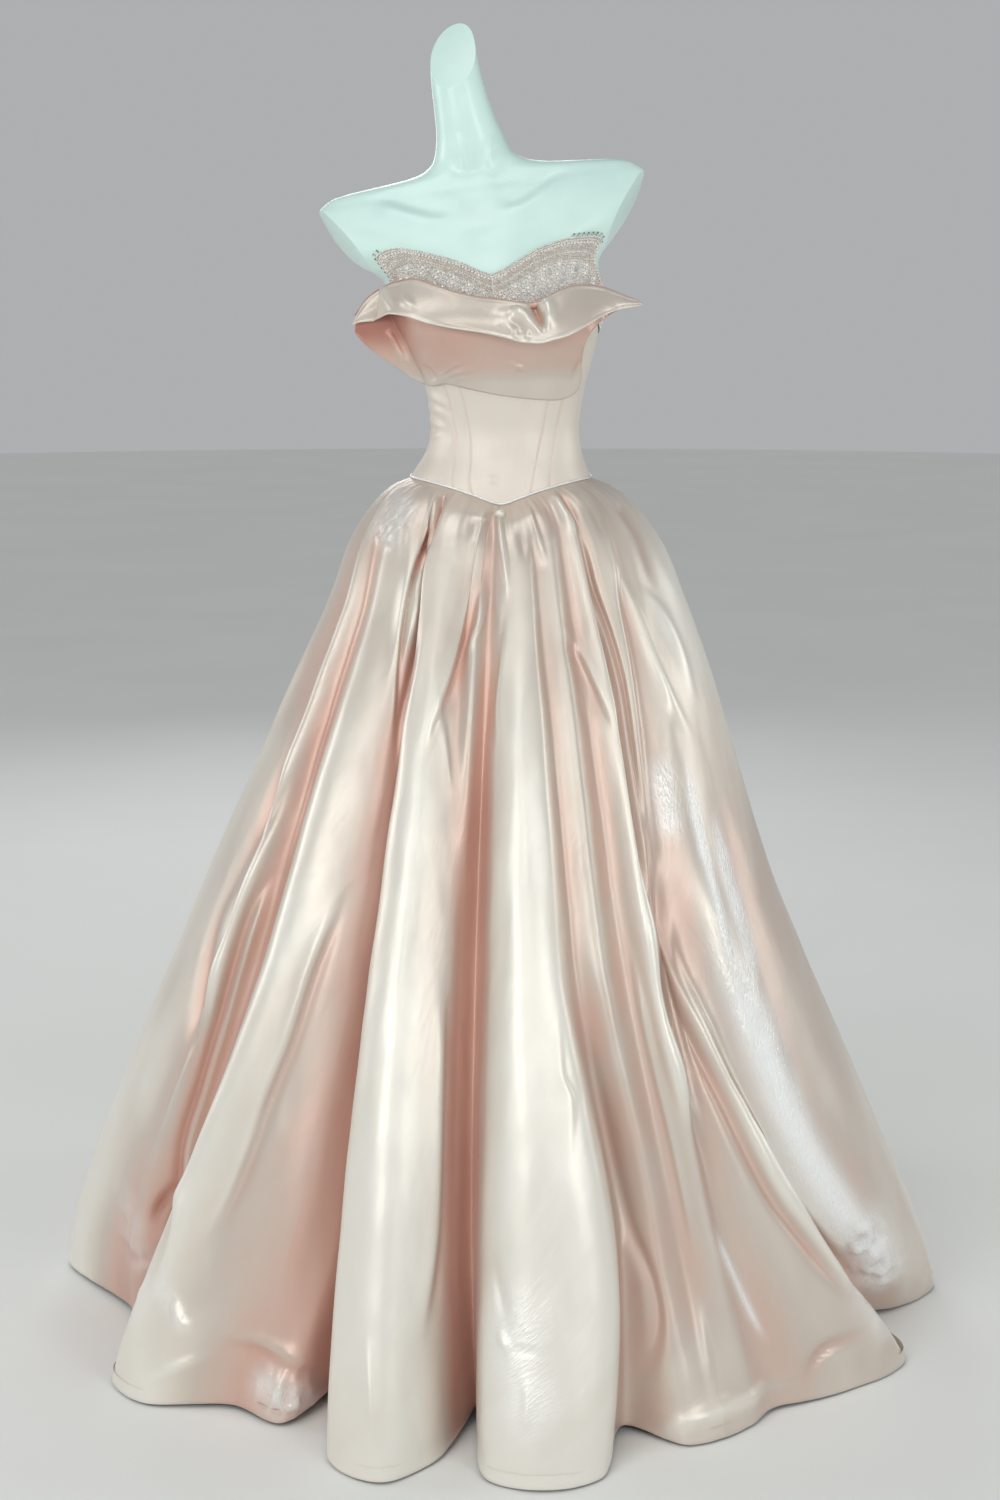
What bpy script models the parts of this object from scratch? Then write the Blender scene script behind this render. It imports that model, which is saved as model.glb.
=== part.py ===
"""Strapless satin ball gown on a limbless display form.

Metres, +Z up, front towards -Y, wearer's right towards -X. The origin is on the floor, under the pole.
Angles are degrees round the body from the front, growing towards +X.
"""

import math
from bisect import bisect_right

import bmesh
import bpy
from mathutils import Vector

# Driving dimensions
SATIN = 0.0016
LACE = 0.0012
SEAM = 0.0003
EASE = 0.0009
LACE_GAP = 0.0004
SHOULDER_SLOPE = 0.1335
LEAN_STARTS = 1.28
LEAN_FULL = 1.43
ROUNDNESS = 2.2
BUST_SWELL = 0.020
BUST_DEG = 33.0
BUST_SPREAD_DEG = 20.0
BUST_HEIGHT = 1.312
BUST_TALL = 0.040
SEAM_HEIGHT = 1.117
BASQUE_DROP = 0.0265
BASQUE_DEG = 72.0
BASQUE_BLUNT = 0.08
BASQUE_EASE = 1.7
HEM_LOW = 0.004
HEM_RISE = 0.020
DEEPEST_HEM_FOLD = 108.0
FOLD_SHARES = (0.0, 0.25, 0.75)
BASE_RADIUS = 0.175
BASE_THICK = 0.010
POLE_RADIUS = 0.0125
COLLAR_RADIUS = 0.024
COLLAR_HEIGHT = 0.030
FORM_BOTTOM = 0.860

MM = 0.001

# The form, section by section: centre, half width, front and back half depth at each height
FORM_COLUMNS = ("height", "centre_x", "centre_y", "side", "front", "back")
FORM_ROWS = (
    (0.860, -0.002, 0.010, 0.148, 0.104, 0.108),
    (0.950, 0.000, 0.010, 0.152, 0.108, 0.114),
    (1.020, 0.001, 0.010, 0.142, 0.102, 0.110),
    (1.085, 0.002, 0.008, 0.120, 0.092, 0.096),
    (1.115, 0.001, 0.006, 0.112, 0.086, 0.088),
    (1.150, 0.005, 0.004, 0.096, 0.078, 0.078),
    (1.178, 0.007, 0.003, 0.091, 0.075, 0.074),
    (1.210, 0.007, 0.003, 0.094, 0.078, 0.077),
    (1.240, 0.006, 0.003, 0.101, 0.083, 0.082),
    (1.275, 0.003, 0.003, 0.113, 0.090, 0.090),
    (1.310, -0.002, 0.003, 0.124, 0.094, 0.098),
    (1.345, -0.007, 0.005, 0.131, 0.094, 0.103),
    (1.372, -0.011, 0.008, 0.134, 0.090, 0.104),
    (1.396, -0.015, 0.011, 0.156, 0.084, 0.102),
    (1.418, -0.018, 0.013, 0.185, 0.077, 0.097),
    (1.447, -0.022, 0.017, 0.210, 0.065, 0.083),
    (1.472, -0.025, 0.022, 0.204, 0.051, 0.066),
    (1.480, -0.026, 0.024, 0.195, 0.046, 0.059),
    (1.487, -0.027, 0.025, 0.184, 0.043, 0.053),
    (1.492, -0.028, 0.026, 0.158, 0.042, 0.050),
    (1.4955, -0.028, 0.027, 0.122, 0.042, 0.049),
    (1.500, -0.029, 0.028, 0.082, 0.043, 0.048),
    (1.507, -0.031, 0.027, 0.061, 0.043, 0.047),
    (1.517, -0.034, 0.026, 0.049, 0.043, 0.045),
    (1.540, -0.038, 0.021, 0.041, 0.040, 0.041),
    (1.565, -0.044, 0.015, 0.036, 0.036, 0.037),
    (1.620, -0.055, 0.008, 0.030, 0.031, 0.032),
    (1.670, -0.060, 0.004, 0.0268, 0.028, 0.028),
    (1.740, -0.064, 0.002, 0.026, 0.027, 0.027),
)
FORM_BELOW_ROWS = (0.0, 0.35, 0.62, 0.84)
FORM_ABOVE_ROWS = (0.25, 0.50, 0.75)
FORM_HEIGHTS = (
    1.460, 1.473, 1.482, 1.489, 1.4935, 1.497, 1.502, 1.510, 1.522, 1.540, 1.570, 1.610,
    1.670, 1.740,
)
# Planes that trim the form at its arms and neck: a point on the plane, the direction that is
# cut away, and how far round that point the plane reaches
FORM_CUTS = (
    ((-0.193, 0.012, 1.405), (-0.812, -0.248, -0.584), 0.095),
    ((0.157, 0.012, 1.450), (0.900, -0.220, -0.390), 0.095),
    ((-0.058, 0.004, 1.630), (-0.550, -1.450, 1.000), 0.130),
)

# Height of the bodice's top edge, from the centre-front dip round to the centre back, for each side
NECKLINE_RIGHT = (
    (0, 1.3705), (4.5, 1.377), (12, 1.391), (21, 1.404), (28, 1.413), (33.5, 1.4175),
    (39, 1.416), (46, 1.411), (56, 1.386), (66, 1.360), (80, 1.346), (142, 1.316), (180, 1.300),
)
NECKLINE_LEFT = (
    (0, 1.3705), (5.5, 1.376), (14, 1.387), (22.5, 1.397), (35.5, 1.4025), (48.5, 1.4015),
    (58, 1.397), (67, 1.372), (78, 1.352), (95, 1.340), (142, 1.316), (180, 1.300),
)
# Angle of each bodice seam at a height, the same on both sides
PRINCESS_SEAM = ((1.090, 16.0), (1.135, 22.5), (1.180, 28.5), (1.320, 36.0), (1.420, 38.0))
SIDE_FRONT_SEAM = ((1.090, 29.5), (1.135, 36.5), (1.180, 42.0), (1.320, 55.0), (1.420, 60.0))
SIDE_BACK_SEAM = ((1.090, 112.0), (1.420, 116.0))
ZIP_HALF = 0.0032
ZIP_THICK = 0.0022
BODICE_ROWS = (0.0, 0.09, 0.18, 0.28, 0.38, 0.49, 0.60, 0.70, 0.80, 0.90, 1.0)
LACE_ROWS = (0.80, 0.90, 1.0)

# The skirt's smooth shape: how far it stands out of the waist at each drop below the seam
SKIRT_COLUMNS = ("drop", "side", "front", "back")
SKIRT_PROFILE = (
    (0.0007, 0.000, 0.000, 0.000),
    (0.0040, 0.004, 0.004, 0.004),
    (0.0100, 0.018, 0.016, 0.018),
    (0.0220, 0.034, 0.031, 0.036),
    (0.0450, 0.054, 0.046, 0.059),
    (0.0850, 0.077, 0.060, 0.080),
    (0.1550, 0.101, 0.085, 0.109),
    (0.2500, 0.140, 0.121, 0.150),
    (0.3600, 0.184, 0.159, 0.195),
    (0.5200, 0.247, 0.211, 0.255),
    (0.6800, 0.308, 0.261, 0.310),
    (0.8400, 0.366, 0.305, 0.359),
    (0.9700, 0.406, 0.335, 0.397),
    (1.0600, 0.427, 0.352, 0.421),
    (1.1110, 0.432, 0.357, 0.429),
)
# The skirt's folds in order round the hem. Angles at the waist and at four heights, then how
# far the line stands out of the smooth shape, in millimetres, at the same four heights
FOLD_COLUMNS = (
    "name", "waist", "high", "mid", "low", "hem", "out_high", "out_mid", "out_low", "out_hem",
)
FOLD_DROPS = (0.0, 0.165, 0.515, 0.865, 1.111)
FOLD_STARTS = 0.030
FOLD_START_SHARE = 0.35
FOLDS = (
    ("right_lobe", -98, -97, -98, -99, -101, 8, 28, 50, 74),
    ("right_lobe_dip", -80, -73, -71, -77, -84, -6, -14, -12, -42),
    ("right_thin_ridge", -75, -67, -66.5, -70, -78, 6, 8, -5, -50),
    ("right_side_valley", -70, -62, -62.5, -64, -71, -10, -28, -45, -75),
    ("right_roll", -57, -52, -50, -56, -63, 6, 22, 30, 33),
    ("right_roll_edge", -50, -40, -39, -49, -55, 2, -2, 2, 40),
    ("right_pan", -47, -38, -34.5, -37, -45, -6, -22, -16, -22),
    ("right_pan_end", -45.5, -37, -32.5, -32, -35.5, -12, -34, -46, -14),
    ("right_deep_valley", -44, -35.5, -31, -28.5, -33, -22, -52, -78, -108),
    ("right_column_edge", -38, -32, -28, -25.5, -23.5, 2, 14, 30, 48),
    ("right_column", -24, -24, -21, -17.5, -15.5, 10, 26, 48, 78),
    ("right_column_back", -10, -15, -12, -10, -10, -8, -2, -2, 28),
    ("centre_thin_ridge", -6, -10, -9.8, -8.3, -7.2, 3, -22, -34, -30),
    ("centre_valley", -3, -5, -6.5, -5.8, -4.6, -10, -48, -62, -88),
    ("left_column_edge", 2, 0, -1.8, -2.6, -1.8, 2, 6, 14, 58),
    ("left_column", 8, 7, 4, 5, 6, 10, 28, 48, 84),
    ("left_column_back", 14, 13, 12, 17, 13.3, 8, 22, 40, 64),
    ("left_column_valley", 19, 17.5, 17, 23, 21, -4, -8, -40, -40),
    ("left_soft_ridge", 26, 24, 22.5, 27.5, 28, 5, 6, -8, 14),
    ("left_soft_valley", 33, 31, 29, 32, 34, -7, -12, -16, 16),
    ("left_narrow_ridge", 38, 37, 33.5, 36, 39.5, 9, 16, 4, 3),
    ("left_seam_valley", 43, 41, 37, 39.5, 45, -12, -20, -18, -14),
    ("left_spread", 48, 45, 39, 45, 54, 2, -12, 4, 2),
    ("left_spread_tip", 55, 48, 41, 52, 69, 6, -14, 12, 28),
    ("left_side_valley", 62, 52, 43.5, 56, 79, -4, -16, -32, -62),
    ("left_lobe_edge", 70, 60, 54, 66, 85.5, 8, 4, 8, -2),
    ("left_lobe", 90, 86, 84, 88, 93, 22, 0, 20, 52),
    ("left_rear_valley", 104, 103, 104, 105, 107, -8, -20, -35, -50),
    ("left_rear_ridge", 116, 117, 118, 119, 120, 8, 22, 35, 46),
    ("left_back_valley", 129, 130, 131, 132, 132, -8, -22, -38, -54),
    ("left_back_ridge", 142, 143, 144, 144, 145, 8, 24, 36, 44),
    ("left_inner_valley", 154, 155, 156, 157, 157, -9, -22, -36, -50),
    ("left_inner_ridge", 166, 167, 168, 168, 168.5, 8, 20, 34, 46),
    ("centre_back_valley", 180, 180, 180, 180, 180, -8, -22, -36, -48),
    ("right_inner_ridge", 194, 193, 192, 191, 191, 8, 22, 36, 50),
    ("right_inner_valley", 206, 205, 204, 203, 203, -9, -24, -38, -54),
    ("right_back_ridge", 218, 217, 216, 215, 214, 8, 22, 34, 44),
    ("right_back_valley", 231, 230, 229, 228, 227, -8, -22, -36, -50),
    ("right_rear_ridge", 243, 242, 241, 240, 239, 8, 22, 36, 48),
    ("right_rear_valley", 252, 252, 251, 250, 249, -6, -16, -26, -36),
)
SKIRT_ROWS = (
    0.0007, 0.0040, 0.0100, 0.0220, 0.0450, 0.0850, 0.1600, 0.2700, 0.4100, 0.5700,
    0.7300, 0.8800, 1.0000, 1.0750, 1.1110,
)
# Each gore runs from one fold line to another
GORES = (
    ("skirt_front", "right_pan", "left_soft_valley"),
    ("skirt_side_left", "left_soft_valley", "left_rear_valley"),
    ("skirt_back_left", "left_rear_valley", "centre_back_valley"),
    ("skirt_back_right", "centre_back_valley", "right_rear_valley"),
    ("skirt_side_right", "right_rear_valley", "right_pan"),
)

# The folded drape across the bust, station by station from the wearer's right to the left tip.
# Lower edge, crest of the fold and free edge of the turned-down flap, as x and height, with how
# far each stands off the form, in millimetres, and how late the panel flares out to its crest
DRAPE_COLUMNS = (
    "low_x", "low_z", "crest_x", "crest_z", "edge_x", "edge_z",
    "low_off", "crest_off", "edge_off", "flare",
)
DRAPE_STATIONS = (
    (-0.1790, 1.2985, -0.1775, 1.3200, -0.1820, 1.3090, 20, 22, 24, 1.0),
    (-0.1675, 1.2850, -0.1660, 1.3370, -0.1720, 1.3120, 18, 20, 30, 1.0),
    (-0.1480, 1.2695, -0.1490, 1.3500, -0.1550, 1.3135, 14, 16, 36, 1.0),
    (-0.1260, 1.2545, -0.1270, 1.3605, -0.1330, 1.3225, 11, 13, 36, 1.0),
    (-0.1050, 1.2405, -0.1055, 1.3640, -0.1130, 1.3200, 8, 11, 32, 1.0),
    (-0.0850, 1.2335, -0.0805, 1.3575, -0.0868, 1.3122, 6, 10, 28, 1.0),
    (-0.0670, 1.2372, -0.0562, 1.3500, -0.0563, 1.3059, 5.4, 9, 26, 1.0),
    (-0.0400, 1.2320, -0.0256, 1.3433, -0.0257, 1.3016, 4.6, 9, 26, 1.0),
    (-0.0100, 1.2260, 0.0000, 1.3405, 0.0048, 1.2955, 4, 9, 28, 1.0),
    (0.0150, 1.2220, 0.0203, 1.3380, 0.0294, 1.2894, 4, 9, 34, 1.0),
    (0.0350, 1.2198, 0.0371, 1.3356, 0.0480, 1.2887, 4, 9, 38, 1.0),
    (0.0530, 1.2180, 0.0657, 1.3473, 0.0660, 1.2929, 4, 9, 36, 1.1),
    (0.0680, 1.2173, 0.0902, 1.3567, 0.0816, 1.2971, 4, 10, 32, 1.3),
    (0.0800, 1.2190, 0.1060, 1.3573, 0.1027, 1.3077, 5, 11, 28, 1.6),
    (0.0911, 1.2243, 0.1266, 1.3545, 0.1241, 1.3201, 6, 13, 26, 2.2),
    (0.0980, 1.2323, 0.1542, 1.3456, 0.1514, 1.3295, 7, 16, 24, 3.2),
    (0.1000, 1.2400, 0.1745, 1.3368, 0.1760, 1.3335, 8, 18, 22, 4.0),
)
DRAPE_STEPS = 3
PANEL_POINTS = 7
FLAP_POINTS = 5
FOLD_GAP = 0.010
FLAP_BELLY = 0.004
WIDEST_SHARE = 0.93


def columns(rows, names, wanted):
    """One named column of a table."""
    at = names.index(wanted)
    return [row[at] for row in rows]


def curve(xs, ys, x):
    """A smooth curve through the points, with no overshoot between them and straight past the ends."""
    gaps = [b - a for a, b in zip(xs, xs[1:])]
    slopes = [(b - a) / gap for a, b, gap in zip(ys, ys[1:], gaps)]
    i = min(max(bisect_right(xs, x) - 1, 0), len(xs) - 2)

    def tangent(k):
        if k == 0 or k == len(xs) - 1:
            return slopes[0] if k == 0 else slopes[-1]
        before, after = slopes[k - 1], slopes[k]
        if before * after <= 0:
            return 0.0
        return 2 * before * after / (before + after)

    if x <= xs[0]:
        return ys[0]
    if x >= xs[-1]:
        return ys[-1]
    t = (x - xs[i]) / gaps[i]
    return (
        ys[i] * (1 + 2 * t) * (1 - t) ** 2
        + ys[i + 1] * t * t * (3 - 2 * t)
        + tangent(i) * gaps[i] * t * (1 - t) ** 2
        - tangent(i + 1) * gaps[i] * t * t * (1 - t)
    )


def smooth_step(low, high, x):
    t = min(max((x - low) / (high - low), 0.0), 1.0)
    return t * t * (3 - 2 * t)


FORM_TABLE = {name: columns(FORM_ROWS, FORM_COLUMNS, name) for name in FORM_COLUMNS}
SKIRT_TABLE = {name: columns(SKIRT_PROFILE, SKIRT_COLUMNS, name) for name in SKIRT_COLUMNS}
DRAPE_TABLE = {name: columns(DRAPE_STATIONS, DRAPE_COLUMNS, name) for name in DRAPE_COLUMNS}


def form_section(height):
    heights = FORM_TABLE["height"]
    return {name: curve(heights, FORM_TABLE[name], height) for name in FORM_COLUMNS[1:]}


def bust(height, deg):
    """How far the bust stands out of the plain oval section."""
    rise = math.exp(-(((height - BUST_HEIGHT) / BUST_TALL) ** 2))
    spread = math.exp(-(((abs(deg) - BUST_DEG) / BUST_SPREAD_DEG) ** 2))
    return BUST_SWELL * rise * spread


def shoulder_lean(height):
    """The shoulders tilt, the wearer's left one up; the waist stays level."""
    return SHOULDER_SLOPE * smooth_step(LEAN_STARTS, LEAN_FULL, height)


def form_point(height, deg, out=0.0):
    """A point on the form's surface, or a distance out from it."""
    section = form_section(height)
    angle = math.radians(deg)
    sine, cosine = math.sin(angle), math.cos(angle)
    depth = section["front"] if cosine > 0 else section["back"]
    swell = out + bust(height, deg)
    power = 2 / ROUNDNESS
    x = section["centre_x"] + (section["side"] + swell) * math.copysign(abs(sine) ** power, sine)
    y = section["centre_y"] - (depth + swell) * math.copysign(abs(cosine) ** power, cosine)
    return Vector((x, y, height + shoulder_lean(height) * x))


def seam_height(x, y):
    """The waist seam is level at the sides and back and dips to a blunt point in front."""
    away = math.degrees(math.atan2(x, -y)) / BASQUE_DEG
    reach = math.hypot(away, BASQUE_BLUNT) - BASQUE_BLUNT
    share = 1 - reach / (math.hypot(1.0, BASQUE_BLUNT) - BASQUE_BLUNT)
    return SEAM_HEIGHT - BASQUE_DROP * max(share, 0.0) ** BASQUE_EASE


def neckline(deg):
    table = NECKLINE_RIGHT if deg < 0 else NECKLINE_LEFT
    return curve([row[0] for row in table], [row[1] for row in table], abs(deg))


def bodice_point(share, deg, out):
    """A point of the bodice: share runs from the waist seam, 0, to the top edge, 1."""
    level = form_point(SEAM_HEIGHT, deg, out)
    low = seam_height(level.x, level.y)
    return form_point(low + (neckline(deg) - low) * share, deg, out)


def seam_deg(seam, share):
    """The angle of a bodice seam at a share of the bodice's height."""
    height = seam[0][0] + (seam[-1][0] - seam[0][0]) * share
    return curve([row[0] for row in seam], [row[1] for row in seam], height)


def material(name, colour, roughness, metallic=0.0):
    made = bpy.data.materials.new(name)
    made.use_nodes = True
    shader = made.node_tree.nodes["Principled BSDF"]
    shader.inputs["Base Color"].default_value = (*colour, 1.0)
    shader.inputs["Roughness"].default_value = roughness
    shader.inputs["Metallic"].default_value = metallic
    return made


def add_object(name, mesh, look, smooth_deg=40.0):
    mesh.materials.append(look)
    mesh.shade_smooth()
    mesh.set_sharp_from_angle(angle=math.radians(smooth_deg))
    made = bpy.data.objects.new(name, mesh)
    bpy.context.scene.collection.objects.link(made)
    return made


def add_wall(name, inner, outer, look):
    """A closed wall between two grids of points, each a list of rows."""
    rows, across = len(inner), len(inner[0])
    points = [point for grid in (inner, outer) for row in grid for point in row]

    def at(side, row, column):
        return (side * rows + row) * across + column

    faces = []
    for row in range(rows - 1):
        for column in range(across - 1):
            a, b = (row, column), (row, column + 1)
            c, d = (row + 1, column + 1), (row + 1, column)
            for half in ((a, b, c), (a, c, d)):
                faces.append([at(1, *corner) for corner in half])
                faces.append([at(0, *corner) for corner in reversed(half)])
    ring = [(0, column) for column in range(across)]
    ring += [(row, across - 1) for row in range(1, rows)]
    ring += [(rows - 1, column) for column in range(across - 2, -1, -1)]
    ring += [(row, 0) for row in range(rows - 2, 0, -1)]
    for here, there in zip(ring, ring[1:] + ring[:1]):
        faces.append([at(0, *here), at(0, *there), at(1, *there), at(1, *here)])
    mesh = bpy.data.meshes.new(name)
    mesh.from_pydata(points, [], faces)
    work = bmesh.new()
    work.from_mesh(mesh)
    bmesh.ops.recalc_face_normals(work, faces=work.faces)
    work.to_mesh(mesh)
    work.free()
    return add_object(name, mesh, look)


def grid_normals(grid, wraps=False):
    """The surface direction at each point of a grid, from its neighbours."""
    rows, across = len(grid), len(grid[0])
    found = []
    for row in range(rows):
        line = []
        for column in range(across):
            before, after = column - 1, column + 1
            if wraps:
                before, after = before % across, after % across
            along = grid[row][min(after, across - 1)] - grid[row][max(before, 0)]
            down = grid[min(row + 1, rows - 1)][column] - grid[max(row - 1, 0)][column]
            line.append(along.cross(down).normalized())
        found.append(line)
    return found


def moved(grid, normals, distance):
    return [
        [point + normal * distance for point, normal in zip(line, directions)]
        for line, directions in zip(grid, normals)
    ]


def form_degs(share):
    """The form's columns: those of the bodice, so that the cloth lies parallel to it."""
    found = [-180.0]
    for panel in bodice_panels():
        low, high, count = panel[1](share), panel[2](share), panel[3]
        found += [low + (high - low) * column / count for column in range(1, count + 1)]
    return sorted(deg for deg in found if abs(deg) < 175.0) + [180.0]


def form_rows():
    """Points of the form: below the seam, under the bodice, above its top edge, and up the neck."""
    rows = []
    for share in FORM_BELOW_ROWS:
        levels = [bodice_point(0.0, deg, 0.0).z for deg in form_degs(0.0)]
        rows.append([
            form_point(FORM_BOTTOM + (level - FORM_BOTTOM) * share, deg)
            for deg, level in zip(form_degs(0.0), levels)
        ])
    rows += [[bodice_point(share, deg, 0.0) for deg in form_degs(share)] for share in BODICE_ROWS]
    degs = form_degs(1.0)
    for share in FORM_ABOVE_ROWS:
        heights = [neckline(deg) + (FORM_HEIGHTS[0] - neckline(deg)) * share for deg in degs]
        rows.append([form_point(height, deg) for height, deg in zip(heights, degs)])
    return rows + [[form_point(height, deg) for deg in degs] for height in FORM_HEIGHTS]


def make_form(look):
    """Torso, shoulders and neck as one loft, trimmed flat at both arms and at the slanted neck."""
    work = bmesh.new()
    rings = [[work.verts.new(point) for point in row] for row in form_rows()]
    across = len(rings[0])
    for lower, upper in zip(rings, rings[1:]):
        for side in range(across):
            after = (side + 1) % across
            work.faces.new((lower[side], lower[after], upper[after]))
            work.faces.new((lower[side], upper[after], upper[side]))
    work.faces.new(reversed(rings[0]))
    work.faces.new(rings[-1])
    for point, cut_away, reach in FORM_CUTS:
        middle = Vector(point)
        faces = [
            face for face in work.faces if all((v.co - middle).length < reach for v in face.verts)
        ]
        edges = {edge for face in faces for edge in face.edges}
        verts = {vert for face in faces for vert in face.verts}
        made = bmesh.ops.bisect_plane(
            work, geom=[*verts, *edges, *faces], plane_co=point, plane_no=cut_away, clear_outer=True
        )
        rim = [item for item in made["geom_cut"] if isinstance(item, bmesh.types.BMEdge)]
        bmesh.ops.contextual_create(work, geom=rim)
    bmesh.ops.remove_doubles(work, verts=work.verts, dist=0.0002)
    bmesh.ops.recalc_face_normals(work, faces=work.faces)
    mesh = bpy.data.meshes.new("form_torso")
    work.to_mesh(mesh)
    work.free()
    return add_object("form_torso", mesh, look, 35.0)


def add_turned(name, outline, look, sides=32):
    """A turned piece: outline is (radius, height) from the bottom's centre to the top's centre."""
    work = bmesh.new()
    rings = []
    for radius, height in outline:
        ring = []
        for side in range(sides):
            angle = 2 * math.pi * side / sides
            ring.append(work.verts.new((radius * math.cos(angle), radius * math.sin(angle), height)))
        rings.append(ring)
    for lower, upper in zip(rings, rings[1:]):
        for side in range(sides):
            after = (side + 1) % sides
            work.faces.new((lower[side], lower[after], upper[after], upper[side]))
    work.faces.new(reversed(rings[0]))
    work.faces.new(rings[-1])
    mesh = bpy.data.meshes.new(name)
    work.to_mesh(mesh)
    work.free()
    return add_object(name, mesh, look, 30.0)


def make_stand(look):
    bevel = 0.002
    add_turned(
        "form_base",
        (
            (BASE_RADIUS, 0.0),
            (BASE_RADIUS, BASE_THICK - bevel),
            (BASE_RADIUS - bevel, BASE_THICK),
            (COLLAR_RADIUS, BASE_THICK + bevel),
            (COLLAR_RADIUS, COLLAR_HEIGHT),
        ),
        look,
        48,
    )
    add_turned(
        "form_pole",
        ((POLE_RADIUS, COLLAR_HEIGHT + SEAM), (POLE_RADIUS, FORM_BOTTOM - SEAM)),
        look,
        24,
    )


def half_gap_deg(radius, gap):
    return math.degrees(gap / 2 / radius)


def bodice_panels():
    """Name, angle of each edge as a function of the share of height, and the number of columns."""

    def at(seam, sign):
        return lambda share: sign * seam_deg(seam, share)

    def back(sign):
        return lambda share: sign * (180.0 - half_gap_deg(0.09, 2 * (ZIP_HALF + SEAM)))

    return (
        ("bodice_centre_front", at(PRINCESS_SEAM, -1), at(PRINCESS_SEAM, 1), 10),
        ("bodice_side_front_left", at(PRINCESS_SEAM, 1), at(SIDE_FRONT_SEAM, 1), 3),
        ("bodice_side_left", at(SIDE_FRONT_SEAM, 1), at(SIDE_BACK_SEAM, 1), 6),
        ("bodice_back_left", at(SIDE_BACK_SEAM, 1), back(1), 6),
        ("bodice_back_right", back(-1), at(SIDE_BACK_SEAM, -1), 6),
        ("bodice_side_right", at(SIDE_BACK_SEAM, -1), at(SIDE_FRONT_SEAM, -1), 6),
        ("bodice_side_front_right", at(SIDE_FRONT_SEAM, -1), at(PRINCESS_SEAM, -1), 3),
    )


def panel_degs(first, last, count, share):
    """The angles of a panel's columns, with half a seam's gap left at each edge."""
    inset = half_gap_deg(0.085, SEAM * 1.15)
    low, high = first(share) + inset, last(share) - inset
    return [low + (high - low) * column / count for column in range(count + 1)]


def make_bodice(look):
    for name, first, last, count in bodice_panels():
        grids = [
            [
                [bodice_point(share, deg, out) for deg in panel_degs(first, last, count, share)]
                for share in BODICE_ROWS
            ]
            for out in (EASE, EASE + SATIN)
        ]
        add_wall(name, *grids, look)


def make_zip(look):
    """The closed tape of the zip in the centre-back seam."""
    half = half_gap_deg(0.09, 2 * ZIP_HALF)
    degs = (-180.0, -180.0 + half)
    grids = []
    for out in (EASE, EASE + ZIP_THICK):
        rows = []
        for share in BODICE_ROWS:
            left = [bodice_point(share, 180.0 - half, out)]
            rows.append(left + [bodice_point(share, deg, out) for deg in degs])
        grids.append(rows)
    add_wall("back_zip", *grids, look)


def make_beaded_band(look):
    """The beaded lace along the top edge, moved out from the bodice's own points."""
    inside = EASE + SATIN + LACE_GAP
    grids = []
    for out in (inside, inside + LACE):
        rows = []
        for share in LACE_ROWS:
            degs = [deg for panel in bodice_panels() for deg in panel_degs(*panel[1:], share)]
            rows.append([bodice_point(share, deg, out) for deg in sorted(degs)])
        grids.append(rows)
    add_wall("beaded_band", *grids, look)


def between(before, start, end, after, t):
    """A point on the round stretch from start to end of a spline through four points."""
    knots = [0.0]
    for a, b in ((before, start), (start, end), (end, after)):
        knots.append(knots[-1] + max((b - a).length, 1e-6) ** 0.5)
    x = knots[1] + (knots[2] - knots[1]) * t

    def mix(p, q, low, high):
        return p + (q - p) * ((x - low) / (high - low))

    a1 = mix(before, start, knots[0], knots[1])
    a2 = mix(start, end, knots[1], knots[2])
    a3 = mix(end, after, knots[2], knots[3])
    b1 = mix(a1, a2, knots[0], knots[2])
    b2 = mix(a2, a3, knots[1], knots[3])
    return mix(b1, b2, knots[1], knots[2])


def smooth_skirt(deg, drop, stands_out=0.0, hem=HEM_LOW):
    """A point of the skirt at an angle and a drop below the seam, standing out of its smooth shape."""
    sine, cosine = math.sin(math.radians(deg)), math.cos(math.radians(deg))
    waist = waist_point(deg)
    if drop <= SKIRT_ROWS[0]:
        return waist - Vector((0.0, 0.0, drop))
    drops = SKIRT_TABLE["drop"]
    side = curve(drops, SKIRT_TABLE["side"], drop)
    depth = curve(drops, SKIRT_TABLE["front" if cosine > 0 else "back"], drop)
    radius = math.hypot(waist.x, waist.y) + ((sine / side) ** 2 + (cosine / depth) ** 2) ** -0.5
    radius += stands_out
    height = waist.z + (hem - waist.z) * drop / SKIRT_ROWS[-1]
    return Vector((radius * sine, -radius * cosine, height))


def fold_point(fold, drop):
    """Where one fold line is at a drop below the waist seam."""
    row = dict(zip(FOLD_COLUMNS, fold))
    deg = curve(FOLD_DROPS, [row[name] for name in ("waist", "high", "mid", "low", "hem")], drop)
    outs = [MM * row[name] for name in ("out_high", "out_mid", "out_low", "out_hem")]
    start = outs[0] * FOLD_START_SHARE
    stands_out = curve((SKIRT_ROWS[1], FOLD_STARTS, *FOLD_DROPS[1:]), (0.0, start, *outs), drop)
    hem = HEM_LOW + HEM_RISE * max(-row["out_hem"] / DEEPEST_HEM_FOLD, 0.0)
    return smooth_skirt(deg, drop, stands_out, hem)


def waist_point(deg):
    """The middle of the bodice's wall at the waist seam, at an angle seen from above."""
    target = (deg + 180.0) % 360.0 - 180.0
    low, high = target - 25.0, target + 25.0
    for _ in range(30):
        middle = (low + high) / 2
        point = bodice_point(0.0, (middle + 180.0) % 360.0 - 180.0, EASE + SATIN / 2)
        seen = math.degrees(math.atan2(point.x, -point.y))
        if (seen - target + 180.0) % 360.0 - 180.0 < 0:
            low = middle
        else:
            high = middle
    return point


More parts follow.
